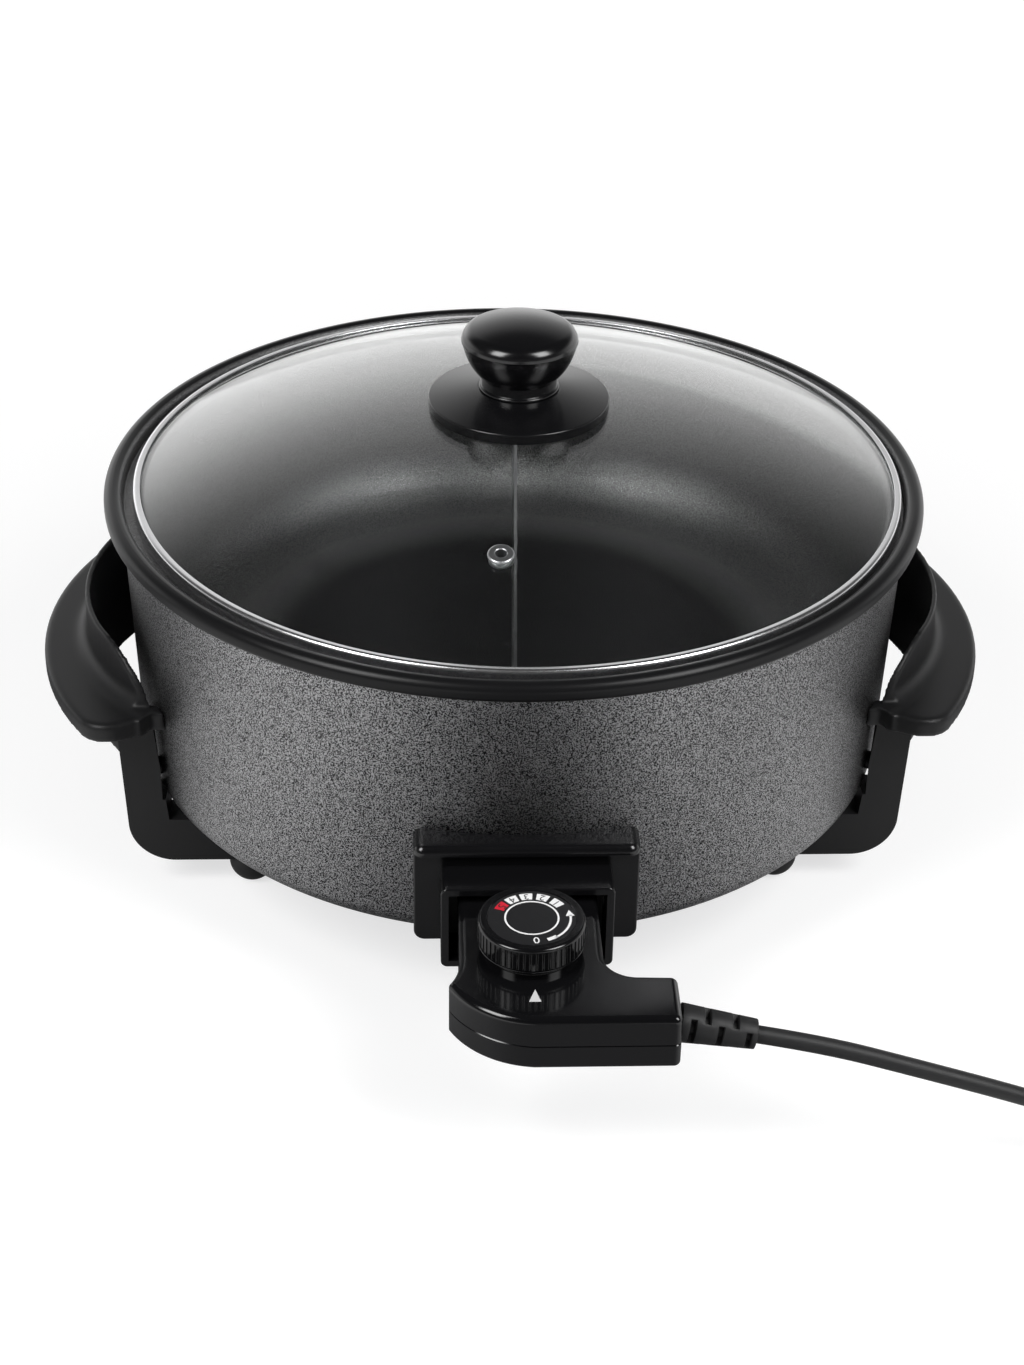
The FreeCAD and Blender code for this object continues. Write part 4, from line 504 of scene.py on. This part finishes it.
# Lid: a toughened glass dome in a rolled steel ring, with a steel vent eyelet.
# Under the knob lies a black moulded guard disc with a sloping edge.
# Lamps shine straight through the glass, so the bowl under it is lit.
LID_X = 0.0016
BAND_PROFILE = [(183.2, 6, 0.3), (187.7, 6, 0.4), (187.7, -2, 1.8), (184, -1.65, 0.35), (184, -0.65, 0.3),
                (186.7, -1, 0.8), (186.7, 5, 0), (183.2, 5, 0.3)]
GUARD_PROFILE = [(3.2, -40, 0), (38.5, -40, 0.3), (38.5, -37.45, 0.3), (43.7, -37, 0.4), (43.7, -42, 0.6),
                 (20.2, -46.8, 0.4), (3.2, -46.8, 0)]
ROLLING = 0.004
RIM_STEEL = (0.74, 0.74, 0.75, 1)
GLASS_TINT = (0.94, 0.95, 0.945, 1)
SHADOW_TINT = (0.89, 0.90, 0.895, 1)
glass, ink, place = start_finish("toughened_glass")
pane = ink.node("BsdfPrincipled", {}, {"Base Color": GLASS_TINT, "Roughness": 0.0, "IOR": 1.5,
                                       "Transmission Weight": 1.0})
clear = ink.node("BsdfTransparent", {}, {"Color": SHADOW_TINT})
lamp_ray = ink.node("LightPath", out="Is Shadow Ray")
ink.node("OutputMaterial", {}, {"Surface": ink.node("MixShader", {}, {0: lamp_ray, 1: pane, 2: clear})})
dress(glass, "lid_glass")
rim_steel, ink, place = start_finish("polished_rim_steel")
rolling = grain(ink, place, ROLLING, 2.0, 0.5)
end_finish(ink, {"Base Color": RIM_STEEL, "Metallic": 1.0, "Roughness": 0.20 + rolling * 0.08})
band = finish_piece(turned(BAND_PROFILE, LID_X), "lid_band", rim_steel, "lid")
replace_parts(even_shading(band), "lid_ring")
guard = finish_piece(turned(GUARD_PROFILE, LID_X), "guard_disc", satin, "lid")
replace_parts(even_shading(guard), "knob_guard")
dress(zinc, "vent_grommet")


# Dial: a fluted black moulding with a finely textured black disc let into its top.
# The disc is screen printed with white boxes that hold dark figures, the last box in red,
# and with a white nought, a ring and a turning arrow.
DIAL_PLACE = Vector((0.0, -0.2, 0.10521))
DISC_BLACK = (0.013, 0.013, 0.014, 1)
DISC_TEXTURE = 0.0004
DISC_TEXTURE_DEPTH = 0.00002
INK_THICK = 0.00004
INK_SPECK = 0.0003
WHITE_INK = (0.80, 0.80, 0.80)
RED_INK = (0.56, 0.012, 0.03)
DARK_INK = (0.02, 0.02, 0.02)
BOX_ANGLES = (43, 70, 97, 122)
RED_ANGLE = 147
BOX_SWEEP = 20
BOX_INNER = 0.0129
BOX_OUTER = 0.0172
FIGURE_HIGH = 0.0052
RING_INNER = 0.0110
RING_OUTER = 0.0118
NOUGHT_HIGH = 0.0058
NOUGHT_ANGLE = -85
NOUGHT_REACH = 0.0158
ARROW_TAIL = (0.0153, 0.0172, -68, 16)
ARROW_LINE = (0.0161, 0.0171, -54, 60)
ARROW_HEAD = ((4, 0.0146), (4, 0.0184), (18, 0.0168))
dial_face, ink, place = start_finish("dial_face")
texture = grain(ink, place, DISC_TEXTURE, 2.0, 0.6)
end_finish(ink, {"Base Color": DISC_BLACK, "Roughness": 0.30 + texture * 0.1}, texture, DISC_TEXTURE_DEPTH)
dress(dial_face, "dial_disc")


def print_ink(name, colour):
    """A screen printed colour with slightly uneven cover."""
    material, ink, place = start_finish(name)
    cover = grain(ink, place, INK_SPECK, 3.0, 0.6)
    end_finish(ink, {"Base Color": blend(ink, cover, [c * 0.86 for c in colour], colour), "Roughness": 0.45})
    return material


def sector(shape, inner, outer, start, sweep):
    """A printed patch between two radii, from a start angle through a sweep, in degrees."""
    turn = Matrix.Rotation(math.radians(start), 4, "Z")
    ends = [bmesh.ops.create_vert(shape, co=turn @ Vector((radius, 0, 0)))["vert"][0]
            for radius in (inner, outer)]
    edge = shape.edges.new(ends)
    bmesh.ops.spin(shape, geom=ends + [edge], cent=(0, 0, 0), axis=(0, 0, 1), angle=math.radians(sweep),
                   steps=max(4, int(abs(sweep) / 3)), use_merge=sweep == 360)


def figure(shape, text, size, angle, radius, lift):
    """Adds a printed figure whose top points to the dial's middle."""
    curve = bpy.data.curves.new("figure", "FONT")
    curve.body = text
    curve.size = size
    curve.align_x = "CENTER"
    curve.align_y = "CENTER"
    holder = bpy.data.objects.new("figure", curve)
    bpy.context.collection.objects.link(holder)
    outline = bpy.data.meshes.new_from_object(holder)
    turn = Matrix.Rotation(math.radians(angle), 4, "Z") @ Matrix.Translation((radius, 0, lift))
    outline.transform(turn @ Matrix.Rotation(math.radians(90), 4, "Z"))
    shape.from_mesh(outline)
    bpy.data.objects.remove(holder)
    bpy.data.meshes.remove(outline)


def kind_of(things, kind):
    """The verts, edges or faces among what an operator made."""
    return [thing for thing in things if isinstance(thing, kind)]


def printed(shape, name, ink_name, colour, body, place):
    """Gives flat patches the thickness of a coat of ink, upwards, and puts them in their place."""
    raised = bmesh.ops.extrude_face_region(shape, geom=shape.faces[:], use_keep_orig=True)["geom"]
    bmesh.ops.translate(shape, vec=(0, 0, INK_THICK), verts=kind_of(raised, bmesh.types.BMVert))
    bmesh.ops.recalc_face_normals(shape, faces=shape.faces)
    finish_piece(shape, name, print_ink(ink_name, colour), body, Matrix.Translation(place))


white_print = bmesh.new()
sector(white_print, RING_INNER, RING_OUTER, 0, 360)
for angle in BOX_ANGLES:
    sector(white_print, BOX_INNER, BOX_OUTER, angle - BOX_SWEEP / 2, BOX_SWEEP)
sector(white_print, *ARROW_TAIL)
sector(white_print, *ARROW_LINE)
figure(white_print, "0", NOUGHT_HIGH, NOUGHT_ANGLE, NOUGHT_REACH, 0)
arrow = [Matrix.Rotation(math.radians(angle), 3, "Z") @ Vector((radius, 0, 0))
         for angle, radius in ARROW_HEAD]
white_print.faces.new([white_print.verts.new(corner) for corner in arrow])
printed(white_print, "dial_white_print", "white_ink", WHITE_INK, "dial", DIAL_PLACE)
red_print = bmesh.new()
sector(red_print, BOX_INNER, BOX_OUTER, RED_ANGLE - BOX_SWEEP / 2, BOX_SWEEP)
printed(red_print, "dial_red_print", "red_ink", RED_INK, "dial", DIAL_PLACE)
dark_print = bmesh.new()
for number, angle in enumerate((*BOX_ANGLES, RED_ANGLE), 1):
    figure(dark_print, str(number), FIGURE_HIGH, angle, (BOX_INNER + BOX_OUTER) / 2, INK_THICK)
printed(dark_print, "dial_dark_print", "dark_ink", DARK_INK, "dial", DIAL_PLACE)


# Pointer: a small grey triangle printed on the thermostat's case in front of the dial.
# It shows which figure is set.
POINTER_CORNERS = ((0.0006, -0.2268, 0), (-0.0023, -0.2350, 0), (0.0029, -0.2350, 0))
CASE_TOP = 0.08802
POINTER_GREY = (0.58, 0.58, 0.58)
pointer = bmesh.new()
corners = [bmesh.ops.create_vert(pointer, co=corner)["vert"][0] for corner in POINTER_CORNERS]
pointer.faces.new(corners)
printed(pointer, "pointer", "grey_ink", POINTER_GREY, "control", (0, 0, CASE_TOP))


# Strain relief: a soft tapered sleeve moulded on the cord, slotted so that it bends evenly.
# Its slots change sides along its length: front and back, then above and below.
RELIEF_START = Vector((0.0615, -0.2330, 0.0745))
RELIEF_END = Vector((0.0940, -0.2347, 0.0690))
RELIEF_LONG = (RELIEF_END - RELIEF_START).length
RELIEF_R = 0.0085
RELIEF_TIP_R = 0.0065
ROUND_STEPS = 48
FIRST_RIB = 0.0037
RIB_LONG = 0.0033
SLOT_WIDE = 0.0028
SLOT_COUNT = 5
SLOT_FLOOR = 0.50
SLOT_NARROWS = 0.75
SLOT_REACH = 0.62
EDGE_ANGLE = 35
EDGE_ROUND = 0.00025
sleeve = bmesh.new()
bmesh.ops.create_circle(sleeve, segments=ROUND_STEPS, radius=RELIEF_R, cap_ends=False)
edges = sleeve.edges[:]
along = 0.0
radius = RELIEF_R
slot_bands = []
bands = [FIRST_RIB] + [SLOT_WIDE, RIB_LONG] * SLOT_COUNT
bands[-1] = RELIEF_LONG - sum(bands[:-1])
for count, step in enumerate(bands):
    grown = bmesh.ops.extrude_edge_only(sleeve, edges=edges)["geom"]
    verts = kind_of(grown, bmesh.types.BMVert)
    edges = kind_of(grown, bmesh.types.BMEdge)
    if count % 2:
        slot_bands.append(kind_of(grown, bmesh.types.BMFace))
    along += step
    smaller = RELIEF_R + (RELIEF_TIP_R - RELIEF_R) * along / RELIEF_LONG
    bmesh.ops.translate(sleeve, vec=(0, 0, step), verts=verts)
    bmesh.ops.scale(sleeve, vec=(smaller / radius, smaller / radius, 1), verts=verts)
    radius = smaller
bmesh.ops.holes_fill(sleeve, edges=[e for e in sleeve.edges if e.is_boundary])
for count, band_faces in enumerate(slot_bands):
    sides = [face for face in band_faces
             if abs(face.calc_center_median()[count % 2]) > SLOT_REACH * RELIEF_R]
    level = sides[0].calc_center_median().z
    sunk = bmesh.ops.extrude_face_region(sleeve, geom=sides)["geom"]
    bmesh.ops.delete(sleeve, geom=sides, context="FACES_ONLY")
    bmesh.ops.scale(sleeve, vec=(SLOT_FLOOR, SLOT_FLOOR, SLOT_NARROWS),
                    verts=kind_of(sunk, bmesh.types.BMVert), space=Matrix.Translation((0, 0, -level)))
bmesh.ops.recalc_face_normals(sleeve, faces=sleeve.faces)
sharp = [e for e in sleeve.edges
         if len(e.link_faces) == 2 and e.calc_face_angle() > math.radians(EDGE_ANGLE)]
bmesh.ops.bevel(sleeve, geom=sharp, offset=EDGE_ROUND, offset_type="OFFSET", affect="EDGES", segments=2,
                profile=0.5, material=-1)
for face in sleeve.faces:
    face.smooth = True
relief_turn = (RELIEF_END - RELIEF_START).to_track_quat("Z", "Y").to_matrix().to_4x4()
relief = finish_piece(sleeve, "relief_sleeve", rubber, "control",
                      Matrix.Translation(RELIEF_START) @ relief_turn)
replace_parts(relief, "strain_relief")


# Cord: a round black mains cord that drops from the strain relief to the table.
# What isn't in use is wound into a neat coil of two layers, held by a band, with the plug beside it.
# It winds inwards on the table, climbs on itself, and winds outwards in the upper layer.
CORD_R = 0.0039
COIL_X = 0.310
COIL_Y = -0.1845
COIL_R = 0.052
COIL_STEP = 0.0021
LIE = 0.0049
LAYER = 0.0084
QUARTERS = 13
TURN_POINTS = 16
PLUG_MIDDLE = 0.0195
DROP = [(0.0940, -0.2347, 0.0690), (0.12354, -0.23625, 0.0640), (0.1620, -0.2391, 0.0534),
        (0.2050, -0.2415, 0.0405), (0.2410, -0.2413, 0.0265), (0.2710, -0.2393, 0.0120),
        (0.2920, -0.2365, LIE)]
TAIL = [(0.3620, -0.1587, LIE + LAYER), (0.3615, -0.1365, PLUG_MIDDLE), (0.3615, -0.1185, PLUG_MIDDLE)]
coil = []
# The spline runs inside its points, so the coil's points lie a little further out.
swell = 1 / (1 - (1 - math.cos(math.pi / TURN_POINTS)) / 2)
for count in range(QUARTERS * TURN_POINTS // 4 + 1):
    quarter = 4 * count / TURN_POINTS
    wound_in = min(quarter, QUARTERS - quarter)
    climb = min(1.0, max(0.0, quarter - QUARTERS // 2 + 0.5))
    turn = math.radians(90 * quarter - 90)
    radius = (COIL_R - COIL_STEP * wound_in) * swell
    coil.append((COIL_X + radius * math.cos(turn), COIL_Y + radius * math.sin(turn), LIE + LAYER * climb))
route = DROP + coil + TAIL
cord_curve = bpy.data.curves.new("cord", "CURVE")
cord_curve.dimensions = "3D"
cord_curve.bevel_depth = CORD_R
cord_curve.bevel_resolution = 6
cord_curve.resolution_u = 6
spline = cord_curve.splines.new("NURBS")
spline.points.add(len(route) - 1)
for point, spot in zip(spline.points, route):
    point.co = (*spot, 1)
spline.order_u = 3
spline.use_endpoint_u = True
cord_curve.materials.append(rubber)
cord = bpy.data.objects.new("cord", cord_curve)
bpy.context.collection.objects.link(cord)
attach(cord, "control")
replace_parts(cord, "cord_run", "cord_coil", "cord_tail")
